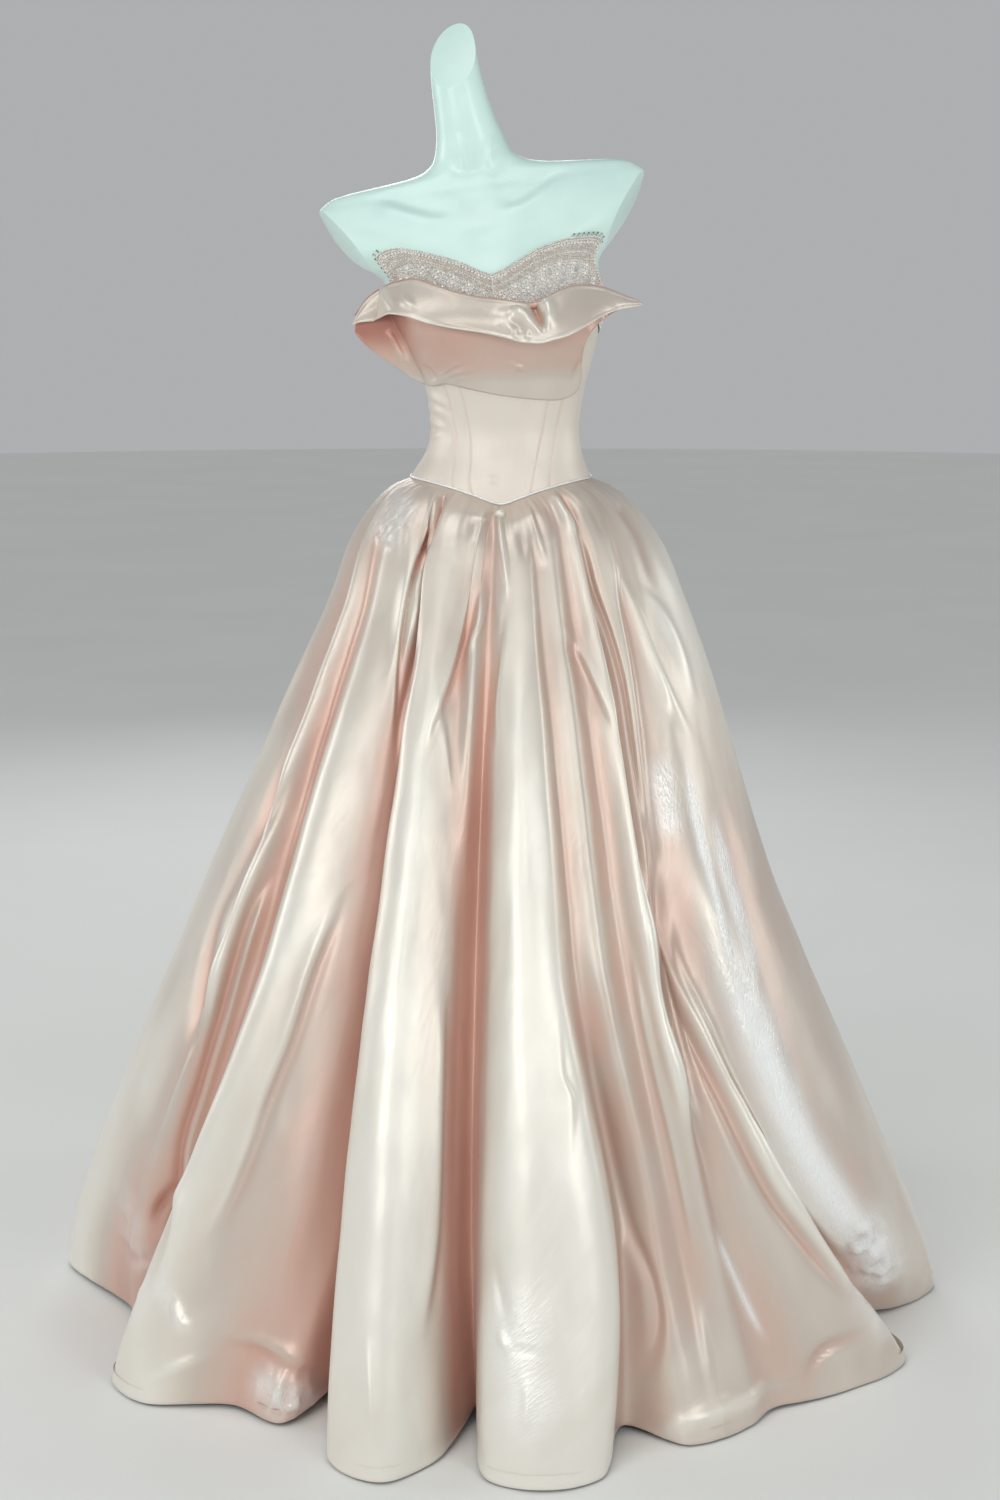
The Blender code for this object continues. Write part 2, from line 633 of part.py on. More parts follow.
def skirt_grid(shares):
    """The middle surface of the whole skirt, row by row, with columns at shares of each fold."""
    grid = []
    for drop in SKIRT_ROWS:
        lines = [fold_point(fold, drop) for fold in FOLDS]
        row = []
        for i, start in enumerate(lines):
            end = lines[(i + 1) % len(lines)]
            after = lines[(i + 2) % len(lines)]
            row += [between(lines[i - 1], start, end, after, share) for share in shares]
        if drop <= SKIRT_ROWS[1]:
            row = [smooth_skirt(math.degrees(math.atan2(at.x, -at.y)), drop) for at in row]
        grid.append(row)
    return grid


def make_skirt(look):
    grid = skirt_grid(FOLD_SHARES)
    normals = grid_normals(grid, wraps=True)
    normals[0] = [Vector((facing.x, facing.y, 0.0)).normalized() for facing in normals[0]]
    across = len(grid[0])
    names = [fold[0] for fold in FOLDS]
    for name, first, last in GORES:
        start = names.index(first) * len(FOLD_SHARES)
        end = names.index(last) * len(FOLD_SHARES)
        if end <= start:
            end += across
        wanted = [column % across for column in range(start, end + 1)]
        middle = [[line[column] for column in wanted] for line in grid]
        facing = [[line[column] for column in wanted] for line in normals]
        for line, normal in zip(middle, facing):
            for end, inside in ((0, 1), (-1, -2)):
                along = line[inside] - line[end]
                along -= normal[end] * along.dot(normal[end])
                line[end] = line[end] + along.normalized() * SEAM / 2
        add_wall(name, moved(middle, facing, -SATIN / 2), moved(middle, facing, SATIN / 2), look)


def front_depth(x, z, out):
    """How far forward the form's front lies at x, out from it; held level past its sides."""
    low, high = 0.0, 89.0
    height = z - shoulder_lean(z - shoulder_lean(z) * x) * x
    section = form_section(height)
    reach = (section["side"] + out) * WIDEST_SHARE
    away = min(max(x - section["centre_x"], -reach), reach)
    for _ in range(24):
        middle = (low + high) / 2
        point = form_point(height, math.copysign(middle, away), out)
        if abs(point.x - section["centre_x"]) < abs(away):
            low = middle
        else:
            high = middle
    return form_point(height, math.copysign(low, away), out).y


def drape_line(station):
    """One line of the drape's middle surface, from its lower edge over the fold to the free edge."""
    index = list(range(len(DRAPE_STATIONS)))
    row = {name: curve(index, DRAPE_TABLE[name], station) for name in DRAPE_COLUMNS}
    line = []
    for step in range(PANEL_POINTS + 1):
        t = step / PANEL_POINTS
        x = row["low_x"] + (row["crest_x"] - row["low_x"]) * t ** row["flare"]
        z = row["low_z"] + (row["crest_z"] - row["low_z"]) * t
        out = MM * (row["low_off"] + (row["crest_off"] - row["low_off"]) * t)
        line.append(Vector((x, front_depth(x, z, out), z)))
    crest = line[-1]
    size = min(FOLD_GAP / 2, (row["crest_z"] - row["edge_z"]) / 3)
    line[-1] = crest - Vector((0.0, 0.0, size))
    for deg in (60.0, 120.0):
        turn = math.radians(deg)
        rise = size * math.sin(turn)
        line.append(line[PANEL_POINTS] + Vector((0.0, -size * (1 - math.cos(turn)), rise)))
    top = line[PANEL_POINTS] + Vector((0.0, -2 * size, 0.0))
    edge_y = front_depth(row["edge_x"], row["edge_z"], MM * row["edge_off"])
    edge = Vector((row["edge_x"], min(edge_y, top.y - size), row["edge_z"]))
    for step in range(FLAP_POINTS + 1):
        t = step / FLAP_POINTS
        belly = Vector((0.0, -FLAP_BELLY * math.sin(math.pi * t), 0.0))
        line.append(top + (edge - top) * t + belly)
    return line


def make_drape(look):
    last = len(DRAPE_STATIONS) - 1
    count = last * DRAPE_STEPS
    lines = [drape_line(last * step / count) for step in range(count + 1)]
    grid = [list(row) for row in zip(*lines)]
    normals = grid_normals(grid)
    add_wall("bust_drape", moved(grid, normals, -SATIN / 2), moved(grid, normals, SATIN / 2), look)


def main():
    for old in list(bpy.data.objects):
        bpy.data.objects.remove(old)
    satin = material("blush_satin", (0.86, 0.71, 0.66), 0.32)
    bodice_satin = material("bodice_satin", (0.86, 0.76, 0.70), 0.42)
    lace = material("beaded_lace", (0.62, 0.54, 0.50), 0.45)
    tape = material("zip_tape", (0.80, 0.68, 0.63), 0.60)
    shell = material("form_white", (0.80, 0.88, 0.85), 0.38)
    steel = material("stand_steel", (0.60, 0.61, 0.62), 0.30, 1.0)
    make_form(shell)
    make_stand(steel)
    make_bodice(bodice_satin)
    make_zip(tape)
    make_beaded_band(lace)
    make_skirt(satin)
    make_drape(satin)


main()
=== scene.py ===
"""Looks of a strapless satin ball gown on a limbless display form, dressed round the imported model.

Metres, +Z up, front towards -Y, wearer's right towards -X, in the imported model's own frame.
Angles are degrees round the body from the front, growing towards +X. A grid is an array of rows
by columns by three; its rows run from the top down, so that its faces look outwards.
"""

import itertools
import math

import bmesh
import bpy
import numpy as np
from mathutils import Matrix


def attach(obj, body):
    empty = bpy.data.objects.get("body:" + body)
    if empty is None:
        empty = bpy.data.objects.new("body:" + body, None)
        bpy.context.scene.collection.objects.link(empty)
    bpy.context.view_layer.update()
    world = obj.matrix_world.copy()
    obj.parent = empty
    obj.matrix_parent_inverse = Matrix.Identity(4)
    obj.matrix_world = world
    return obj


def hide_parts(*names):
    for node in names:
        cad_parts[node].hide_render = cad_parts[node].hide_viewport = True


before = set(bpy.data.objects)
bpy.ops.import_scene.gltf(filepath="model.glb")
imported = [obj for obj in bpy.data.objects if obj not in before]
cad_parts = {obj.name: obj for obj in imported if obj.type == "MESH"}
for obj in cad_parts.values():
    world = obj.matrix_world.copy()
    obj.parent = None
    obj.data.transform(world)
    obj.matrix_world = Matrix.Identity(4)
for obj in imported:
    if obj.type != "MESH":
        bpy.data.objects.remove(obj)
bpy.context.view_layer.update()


MM = 0.001
BODY = "root"

# Camera
CAMERA_AT = (0.0, -3.0, 1.4)
CAMERA_DOWN_DEG = 12.0
CAMERA_LENS_MM = 56.6

# Driving dimensions, as in the solids
SATIN = 0.0016
LACE = 0.0012
EASE = 0.0009
LACE_GAP = 0.0004
SHOULDER_SLOPE = 0.1335
LEAN_STARTS = 1.28
LEAN_FULL = 1.43
ROUNDNESS = 2.2
BUST_SWELL = 0.020
BUST_DEG = 33.0
BUST_SPREAD_DEG = 20.0
BUST_HEIGHT = 1.312
BUST_TALL = 0.040
SEAM_HEIGHT = 1.117
BASQUE_DROP = 0.0265
BASQUE_DEG = 72.0
BASQUE_BLUNT = 0.08
BASQUE_EASE = 1.7
HEM_LOW = 0.004
HEM_RISE = 0.020
DEEPEST_HEM_FOLD = 108.0
FORM_BOTTOM = 0.860
FORM_TOP = 1.740
ZIP_HALF = 0.0032

# The form, section by section: centre, half width, front and back half depth at each height
FORM_COLUMNS = ("height", "centre_x", "centre_y", "side", "front", "back")
FORM_ROWS = (
    (0.860, -0.002, 0.010, 0.148, 0.104, 0.108),
    (0.950, 0.000, 0.010, 0.152, 0.108, 0.114),
    (1.020, 0.001, 0.010, 0.142, 0.102, 0.110),
    (1.085, 0.002, 0.008, 0.120, 0.092, 0.096),
    (1.115, 0.001, 0.006, 0.112, 0.086, 0.088),
    (1.150, 0.005, 0.004, 0.096, 0.078, 0.078),
    (1.178, 0.007, 0.003, 0.091, 0.075, 0.074),
    (1.210, 0.007, 0.003, 0.094, 0.078, 0.077),
    (1.240, 0.006, 0.003, 0.101, 0.083, 0.082),
    (1.275, 0.003, 0.003, 0.113, 0.090, 0.090),
    (1.310, -0.002, 0.003, 0.124, 0.094, 0.098),
    (1.345, -0.007, 0.005, 0.131, 0.094, 0.103),
    (1.372, -0.011, 0.008, 0.134, 0.090, 0.104),
    (1.396, -0.015, 0.011, 0.156, 0.084, 0.102),
    (1.418, -0.018, 0.013, 0.185, 0.077, 0.097),
    (1.447, -0.022, 0.017, 0.210, 0.065, 0.083),
    (1.472, -0.025, 0.022, 0.204, 0.051, 0.066),
    (1.480, -0.026, 0.024, 0.195, 0.046, 0.059),
    (1.487, -0.027, 0.025, 0.184, 0.043, 0.053),
    (1.492, -0.028, 0.026, 0.158, 0.042, 0.050),
    (1.4955, -0.028, 0.027, 0.122, 0.042, 0.049),
    (1.500, -0.029, 0.028, 0.082, 0.043, 0.048),
    (1.507, -0.031, 0.027, 0.061, 0.043, 0.047),
    (1.517, -0.034, 0.026, 0.049, 0.043, 0.045),
    (1.540, -0.038, 0.021, 0.041, 0.040, 0.041),
    (1.565, -0.044, 0.015, 0.036, 0.036, 0.037),
    (1.620, -0.055, 0.008, 0.030, 0.031, 0.032),
    (1.670, -0.060, 0.004, 0.0268, 0.028, 0.028),
    (1.740, -0.064, 0.002, 0.026, 0.027, 0.027),
)
# Planes that trim the form at its arms and neck: a point on the plane, the direction that is
# cut away, and how far round that point the plane reaches
FORM_CUTS = (
    ((-0.193, 0.012, 1.405), (-0.812, -0.248, -0.584), 0.095),
    ((0.157, 0.012, 1.450), (0.900, -0.220, -0.390), 0.095),
    ((-0.058, 0.004, 1.630), (-0.550, -1.450, 1.000), 0.130),
)

# Height of the bodice's top edge, from the centre-front dip round to the centre back, for each side
NECKLINE_RIGHT = (
    (0, 1.3705), (4.5, 1.377), (12, 1.391), (21, 1.404), (28, 1.413), (33.5, 1.4175),
    (39, 1.416), (46, 1.411), (56, 1.386), (66, 1.360), (80, 1.346), (142, 1.316), (180, 1.300),
)
NECKLINE_LEFT = (
    (0, 1.3705), (5.5, 1.376), (14, 1.387), (22.5, 1.397), (35.5, 1.4025), (48.5, 1.4015),
    (58, 1.397), (67, 1.372), (78, 1.352), (95, 1.340), (142, 1.316), (180, 1.300),
)
# Angle of each bodice seam at a height, the same on both sides
PRINCESS_SEAM = ((1.090, 16.0), (1.135, 22.5), (1.180, 28.5), (1.320, 36.0), (1.420, 38.0))
SIDE_FRONT_SEAM = ((1.090, 29.5), (1.135, 36.5), (1.180, 42.0), (1.320, 55.0), (1.420, 60.0))
SIDE_BACK_SEAM = ((1.090, 112.0), (1.420, 116.0))
LACE_FROM = 0.80

# The skirt's smooth shape: how far it stands out of the waist at each drop below the seam
SKIRT_COLUMNS = ("drop", "side", "front", "back")
SKIRT_PROFILE = (
    (0.0007, 0.000, 0.000, 0.000),
    (0.0040, 0.004, 0.004, 0.004),
    (0.0100, 0.018, 0.016, 0.018),
    (0.0220, 0.034, 0.031, 0.036),
    (0.0450, 0.054, 0.046, 0.059),
    (0.0850, 0.077, 0.060, 0.080),
    (0.1550, 0.101, 0.085, 0.109),
    (0.2500, 0.140, 0.121, 0.150),
    (0.3600, 0.184, 0.159, 0.195),
    (0.5200, 0.247, 0.211, 0.255),
    (0.6800, 0.308, 0.261, 0.310),
    (0.8400, 0.366, 0.305, 0.359),
    (0.9700, 0.406, 0.335, 0.397),
    (1.0600, 0.427, 0.352, 0.421),
    (1.1110, 0.432, 0.357, 0.429),
)
# The skirt's folds in order round the hem. Angles at the waist and at four heights, then how
# far the line stands out of the smooth shape, in millimetres, at the same four heights
FOLD_COLUMNS = (
    "name", "waist", "high", "mid", "low", "hem", "out_high", "out_mid", "out_low", "out_hem",
)
FOLD_DROPS = (0.0, 0.165, 0.515, 0.865, 1.111)
FOLD_STARTS = 0.030
FOLD_START_SHARE = 0.35
FOLDS = (
    ("right_lobe", -98, -97, -98, -99, -101, 8, 28, 50, 74),
    ("right_lobe_dip", -80, -73, -71, -77, -84, -6, -14, -12, -42),
    ("right_thin_ridge", -75, -67, -66.5, -70, -78, 6, 8, -5, -50),
    ("right_side_valley", -70, -62, -62.5, -64, -71, -10, -28, -45, -75),
    ("right_roll", -57, -52, -50, -56, -63, 6, 22, 30, 33),
    ("right_roll_edge", -50, -40, -39, -49, -55, 2, -2, 2, 40),
    ("right_pan", -47, -38, -34.5, -37, -45, -6, -22, -16, -22),
    ("right_pan_end", -45.5, -37, -32.5, -32, -35.5, -12, -34, -46, -14),
    ("right_deep_valley", -44, -35.5, -31, -28.5, -33, -22, -52, -78, -108),
    ("right_column_edge", -38, -32, -28, -25.5, -23.5, 2, 14, 30, 48),
    ("right_column", -24, -24, -21, -17.5, -15.5, 10, 26, 48, 78),
    ("right_column_back", -10, -15, -12, -10, -10, -8, -2, -2, 28),
    ("centre_thin_ridge", -6, -10, -9.8, -8.3, -7.2, 3, -22, -34, -30),
    ("centre_valley", -3, -5, -6.5, -5.8, -4.6, -10, -48, -62, -88),
    ("left_column_edge", 2, 0, -1.8, -2.6, -1.8, 2, 6, 14, 58),
    ("left_column", 8, 7, 4, 5, 6, 10, 28, 48, 84),
    ("left_column_back", 14, 13, 12, 17, 13.3, 8, 22, 40, 64),
    ("left_column_valley", 19, 17.5, 17, 23, 21, -4, -8, -40, -40),
    ("left_soft_ridge", 26, 24, 22.5, 27.5, 28, 5, 6, -8, 14),
    ("left_soft_valley", 33, 31, 29, 32, 34, -7, -12, -16, 16),
    ("left_narrow_ridge", 38, 37, 33.5, 36, 39.5, 9, 16, 4, 3),
    ("left_seam_valley", 43, 41, 37, 39.5, 45, -12, -20, -18, -14),
    ("left_spread", 48, 45, 39, 45, 54, 2, -12, 4, 2),
    ("left_spread_tip", 55, 48, 41, 52, 69, 6, -14, 12, 28),
    ("left_side_valley", 62, 52, 43.5, 56, 79, -4, -16, -32, -62),
    ("left_lobe_edge", 70, 60, 54, 66, 85.5, 8, 4, 8, -2),
    ("left_lobe", 90, 86, 84, 88, 93, 22, 0, 20, 52),
    ("left_rear_valley", 104, 103, 104, 105, 107, -8, -20, -35, -50),
    ("left_rear_ridge", 116, 117, 118, 119, 120, 8, 22, 35, 46),
    ("left_back_valley", 129, 130, 131, 132, 132, -8, -22, -38, -54),
    ("left_back_ridge", 142, 143, 144, 144, 145, 8, 24, 36, 44),
    ("left_inner_valley", 154, 155, 156, 157, 157, -9, -22, -36, -50),
    ("left_inner_ridge", 166, 167, 168, 168, 168.5, 8, 20, 34, 46),
    ("centre_back_valley", 180, 180, 180, 180, 180, -8, -22, -36, -48),
    ("right_inner_ridge", 194, 193, 192, 191, 191, 8, 22, 36, 50),
    ("right_inner_valley", 206, 205, 204, 203, 203, -9, -24, -38, -54),
    ("right_back_ridge", 218, 217, 216, 215, 214, 8, 22, 34, 44),
    ("right_back_valley", 231, 230, 229, 228, 227, -8, -22, -36, -50),
    ("right_rear_ridge", 243, 242, 241, 240, 239, 8, 22, 36, 48),
    ("right_rear_valley", 252, 252, 251, 250, 249, -6, -16, -26, -36),
)
SKIRT_TOP = 0.0007
SKIRT_LEVEL = 0.0040
SKIRT_LENGTH = 1.1110
# Each gore runs from one fold line to another, with so many columns between two lines
GORES = (
    ("skirt_front", "right_pan", "left_soft_valley", 30),
    ("skirt_side_left", "left_soft_valley", "left_rear_valley", 26),
    ("skirt_back_left", "left_rear_valley", "centre_back_valley", 14),
    ("skirt_back_right", "centre_back_valley", "right_rear_valley", 14),
    ("skirt_side_right", "right_rear_valley", "right_pan", 26),
)

# The folded drape across the bust, station by station from the wearer's right to the left tip.
# Lower edge, crest of the fold and free edge of the turned-down flap, as x and height, with how
# far each stands off the form, in millimetres, and how late the panel flares out to its crest
DRAPE_COLUMNS = (
    "low_x", "low_z", "crest_x", "crest_z", "edge_x", "edge_z",
    "low_off", "crest_off", "edge_off", "flare",
)
DRAPE_STATIONS = (
    (-0.1790, 1.2985, -0.1775, 1.3200, -0.1820, 1.3090, 20, 22, 24, 1.0),
    (-0.1675, 1.2850, -0.1660, 1.3370, -0.1720, 1.3120, 18, 20, 30, 1.0),
    (-0.1480, 1.2695, -0.1490, 1.3500, -0.1550, 1.3135, 14, 16, 36, 1.0),
    (-0.1260, 1.2545, -0.1270, 1.3605, -0.1330, 1.3225, 11, 13, 36, 1.0),
    (-0.1050, 1.2405, -0.1055, 1.3640, -0.1130, 1.3200, 8, 11, 32, 1.0),
    (-0.0850, 1.2335, -0.0805, 1.3575, -0.0868, 1.3122, 6, 10, 28, 1.0),
    (-0.0670, 1.2372, -0.0562, 1.3500, -0.0563, 1.3059, 5.4, 9, 26, 1.0),
    (-0.0400, 1.2320, -0.0256, 1.3433, -0.0257, 1.3016, 4.6, 9, 26, 1.0),
    (-0.0100, 1.2260, 0.0000, 1.3405, 0.0048, 1.2955, 4, 9, 28, 1.0),
    (0.0150, 1.2220, 0.0203, 1.3380, 0.0294, 1.2894, 4, 9, 34, 1.0),
    (0.0350, 1.2198, 0.0371, 1.3356, 0.0480, 1.2887, 4, 9, 38, 1.0),
    (0.0530, 1.2180, 0.0657, 1.3473, 0.0660, 1.2929, 4, 9, 36, 1.1),
    (0.0680, 1.2173, 0.0902, 1.3567, 0.0816, 1.2971, 4, 10, 32, 1.3),
    (0.0800, 1.2190, 0.1060, 1.3573, 0.1027, 1.3077, 5, 11, 28, 1.6),
    (0.0911, 1.2243, 0.1266, 1.3545, 0.1241, 1.3201, 6, 13, 26, 2.2),
    (0.0980, 1.2323, 0.1542, 1.3456, 0.1514, 1.3295, 7, 16, 24, 3.2),
    (0.1000, 1.2400, 0.1745, 1.3368, 0.1760, 1.3335, 8, 18, 22, 4.0),
)
DRAPE_STEPS = 14
PANEL_ROWS = 56
TURN_ROWS = 9
FLAP_ROWS = 30
FOLD_GAP = 0.010
FLAP_BELLY = 0.004
WIDEST_SHARE = 0.93

# Creases drawn as paths in the front view, as x and height. A ridge stands out, or sinks in where
# its rise is negative. A lap is raised on its left and sunk on its right, or the other way round
# where its rise is negative. Left is the wearer's right for a path that runs down, and below for
# one that runs to the wearer's left. Rise and the reach to the left and right are in millimetres
SKIRT_MARKS = (
    ("lap", 3.5, 13, 6, (
        (-0.069, 1.107), (-0.087, 1.057), (-0.108, 1.006), (-0.120, 0.940), (-0.126, 0.872),
        (-0.131, 0.800),
    )),
    ("ridge", 10, 13, 12, (
        (-0.086, 1.054), (-0.098, 1.012), (-0.106, 0.975), (-0.112, 0.930), (-0.118, 0.880),
    )),
    ("ridge", -7, 2.6, 3, (
        (-0.069, 1.105), (-0.087, 1.057), (-0.107, 1.006), (-0.119, 0.940), (-0.127, 0.860),
    )),
    ("ridge", 3, 3, 3, ((-0.078, 1.108), (-0.090, 1.070), (-0.098, 1.046))),
    ("lap", -4, 8, 9, (
        (-0.089, 0.977), (-0.101, 0.912), (-0.109, 0.875), (-0.120, 0.827), (-0.129, 0.751),
    )),
    ("lap", 7, 14, 10, (
        (-0.014, 1.087), (-0.020, 1.059), (-0.026, 1.014), (-0.039, 0.960), (-0.057, 0.897),
        (-0.075, 0.849), (-0.094, 0.797),
    )),
    ("ridge", 6, 4, 3.5, ((-0.002, 1.086), (0.002, 1.058), (0.007, 1.025), (0.010, 0.979))),
    ("lap", -3, 8, 10, ((0.010, 0.979), (0.001, 0.920), (-0.006, 0.860), (-0.001, 0.792))),
    ("ridge", 4, 5, 4, ((-0.012, 1.002), (-0.023, 0.961), (-0.039, 0.918), (-0.045, 0.889))),
    ("ridge", 3, 6, 4, ((-0.080, 0.892), (-0.069, 0.830), (-0.057, 0.740))),
    ("ridge", 3, 14, 14, ((0.018, 0.930), (0.020, 0.880), (0.023, 0.823), (0.026, 0.691))),
    ("ridge", -3, 7, 9, ((-0.026, 1.078), (-0.030, 1.062), (-0.034, 1.046))),
    ("ridge", -3, 6, 7, ((0.022, 1.072), (0.027, 1.048), (0.033, 1.022))),
    ("ridge", -3, 7, 6, ((0.106, 1.096), (0.120, 1.072), (0.130, 1.046))),
    ("ridge", 5, 9, 3, ((0.034, 1.092), (0.042, 1.070), (0.050, 1.047), (0.058, 1.018))),
    ("lap", 6, 8, 7, ((0.066, 1.108), (0.080, 1.088), (0.091, 1.069), (0.096, 1.052))),
    ("ridge", -7, 3.2, 3.6, (
        (0.088, 1.076), (0.102, 1.041), (0.114, 0.992), (0.136, 0.932), (0.152, 0.872),
        (0.161, 0.811), (0.179, 0.691),
    )),
    ("lap", -5, 12, 10, (
        (0.071, 0.955), (0.099, 0.910), (0.117, 0.875), (0.135, 0.837), (0.144, 0.814),
    )),
    ("ridge", 6, 7, 5, (
        (0.131, 1.066), (0.143, 1.015), (0.163, 0.971), (0.194, 0.892), (0.227, 0.822),
        (0.247, 0.791),
    )),
    ("ridge", 7, 9, 6, ((0.164, 0.996), (0.196, 0.962), (0.223, 0.904), (0.248, 0.829))),
    ("ridge", -6, 6, 5, ((0.145, 1.091), (0.174, 1.051), (0.190, 1.005), (0.200, 0.973))),
    ("lap", -9, 11, 13, (
        (-0.281, 0.641), (-0.308, 0.585), (-0.330, 0.517), (-0.351, 0.443), (-0.374, 0.368),
        (-0.402, 0.269), (-0.404, 0.235), (-0.420, 0.171), (-0.443, 0.116),
    )),
    ("ridge", 7, 10, 9, ((-0.275, 0.720), (-0.302, 0.662), (-0.352, 0.531), (-0.368, 0.411))),
    ("ridge", -6, 8, 8, (
        (-0.255, 0.790), (-0.282, 0.715), (-0.318, 0.635), (-0.366, 0.535), (-0.388, 0.430),
        (-0.398, 0.340),
    )),
    ("ridge", 7, 26, 26, (
        (-0.240, 0.860), (-0.300, 0.730), (-0.375, 0.560), (-0.430, 0.400), (-0.480, 0.230),
    )),
    ("ridge", -5, 16, 16, (
        (-0.225, 0.960), (-0.262, 0.850), (-0.330, 0.700), (-0.400, 0.540), (-0.470, 0.360),
    )),
    ("lap", 6, 14, 12, (
        (-0.182, 0.655), (-0.208, 0.592), (-0.232, 0.528), (-0.253, 0.463), (-0.284, 0.387),
        (-0.309, 0.315), (-0.336, 0.251), (-0.373, 0.188),
    )),
    ("ridge", -9, 8, 7, ((-0.408, 0.240), (-0.444, 0.174), (-0.436, 0.150))),
    ("ridge", -6, 7, 9, ((-0.520, 0.100), (-0.470, 0.112), (-0.440, 0.125))),
    ("ridge", 3, 5, 5, ((-0.410, 0.140), (-0.394, 0.113), (-0.370, 0.090))),
    ("ridge", 5, 7, 6, ((-0.440, 0.034), (-0.395, 0.056), (-0.350, 0.080))),
    ("lap", -6, 16, 14, ((-0.352, 0.094), (-0.304, 0.093), (-0.252, 0.078), (-0.200, 0.058))),
    ("ridge", 5, 6, 6, ((-0.258, 0.082), (-0.268, 0.045), (-0.274, 0.010))),
    ("ridge", 5, 6, 5, ((-0.225, 0.045), (-0.245, 0.030), (-0.268, 0.018))),
    ("ridge", 3, 6, 6, ((-0.155, 0.170), (-0.150, 0.090), (-0.145, 0.020))),
    ("lap", 5, 14, 11, ((-0.064, 0.560), (-0.068, 0.366), (-0.070, 0.290), (-0.092, 0.130))),
    ("ridge", 4, 4, 4, ((-0.006, 0.168), (0.004, 0.158), (0.012, 0.144))),
    ("ridge", -2, 3, 3, ((0.004, 0.148), (0.026, 0.150), (0.052, 0.154))),
    ("ridge", -2.5, 7, 7, ((0.012, 0.160), (-0.001, 0.216), (-0.010, 0.270))),
    ("ridge", 2, 6, 6, ((0.022, 0.134), (0.032, 0.105), (0.026, 0.060))),
    ("lap", 1.6, 8, 7, ((0.071, 0.530), (0.075, 0.451), (0.087, 0.422), (0.084, 0.340))),
    ("ridge", 6, 20, 14, (
        (0.240, 0.700), (0.292, 0.474), (0.355, 0.313), (0.425, 0.187), (0.480, 0.090),
    )),
    ("ridge", -4, 14, 14, ((0.262, 0.760), (0.330, 0.520), (0.400, 0.340), (0.500, 0.160))),
    ("ridge", -7, 9, 8, (
        (0.100, 0.490), (0.124, 0.374), (0.154, 0.252), (0.183, 0.180), (0.188, 0.142),
        (0.174, 0.059),
    )),
    ("ridge", 4, 6, 6, ((0.155, 0.592), (0.179, 0.471), (0.209, 0.351), (0.229, 0.253), (0.240, 0.180))),
    ("ridge", 9, 11, 8, ((0.159, 0.691), (0.179, 0.595), (0.199, 0.490), (0.221, 0.410), (0.255, 0.330))),
    ("ridge", -12, 8, 9, ((0.186, 0.690), (0.192, 0.633), (0.196, 0.556), (0.211, 0.478), (0.240, 0.400))),
    ("lap", -12, 12, 22, (
        (0.196, 0.561), (0.231, 0.478), (0.282, 0.378), (0.333, 0.276), (0.399, 0.183),
        (0.455, 0.105),
    )),
    ("ridge", -8, 8, 9, ((0.380, 0.012), (0.384, 0.042), (0.410, 0.068), (0.470, 0.074))),
    ("ridge", 7, 12, 9, ((0.165, 0.008), (0.258, 0.036), (0.300, 0.037), (0.385, 0.024))),
    ("ridge", 3, 6, 6, ((0.262, 0.240), (0.292, 0.149), (0.335, 0.080))),
    ("ridge", 3, 6, 6, ((0.235, 0.185), (0.246, 0.110), (0.260, 0.030))),
)
# Crumpled places of the skirt, as paths in the front view: how far each reaches to both sides, how
# far its crumples stand out and how wide one crumple is, in millimetres, and how foil-like it is,
# that is how much glossier it is and how much white painted highlight its colour gets
CRUMPLE_COLUMNS = ("reach", "rise", "grain", "foil_and_highlight", "path")
SKIRT_CRUMPLES = (
    (20, 1.2, 8, 0.5, ((-0.104, 1.110), (-0.124, 1.083), (-0.156, 1.030))),
    (25, 0.5, 18, 1.0, (
        (0.262, 0.640), (0.284, 0.540), (0.310, 0.474), (0.373, 0.313), (0.444, 0.187),
        (0.500, 0.090), (0.520, 0.040),
    )),
    (7, 0.2, 12, 0.9, ((0.222, 0.810), (0.245, 0.700), (0.268, 0.600), (0.300, 0.480))),
    (9, 0.2, 12, 0.9, ((0.262, 0.730), (0.285, 0.640), (0.308, 0.560), (0.330, 0.470))),
    (29, 7.0, 22, 1.0, ((0.440, 0.215), (0.478, 0.135), (0.514, 0.040))),
    (30, 5.0, 34, 0.2, ((-0.470, 0.200), (-0.480, 0.140), (-0.440, 0.090))),
    (24, 3.4, 16, 0.5, ((-0.310, 0.062), (-0.262, 0.036), (-0.215, 0.042))),
    (12, 2.2, 9, 0.3, ((-0.425, 0.160), (-0.404, 0.122), (-0.378, 0.092))),
    (30, 0.2, 18, 0.4, ((0.020, 0.230), (0.016, 0.150), (0.060, 0.050))),
    (15, 0.1, 14, 0.6, ((0.196, 0.800), (0.204, 0.740), (0.216, 0.680))),
    (5, 0.1, 9, 0.7, ((0.252, 0.250), (0.285, 0.175), (0.318, 0.105), (0.330, 0.085))),
)
CRUMPLE_ENDS = 0.3
CRUMPLE_FINE_SHARE = 0.4
CRUMPLE_SEEDS = 70
CRUMPLE_FINE_SEEDS = 90
LAP_SOFT = 0.45
PATH_STEPS = 6
MARK_FADE = 0.110
FADE_IN_SHARE = 0.45
FADE_OUT_SHARE = 0.5
MARK_NEAR_SEAM = 0.016
MARK_WAIST = 1.08
# Marks start where a surface's normal points forward by the first share, and are full at the second
FRONT_FROM = 0.05
FRONT_FULL = 0.35
GATHER_DEG = 2.6
GATHER_DEG_PER_METRE = 30.0
GATHER_SEED = 3
GATHER_RISE = 0.0007
GATHER_DROP = 0.060

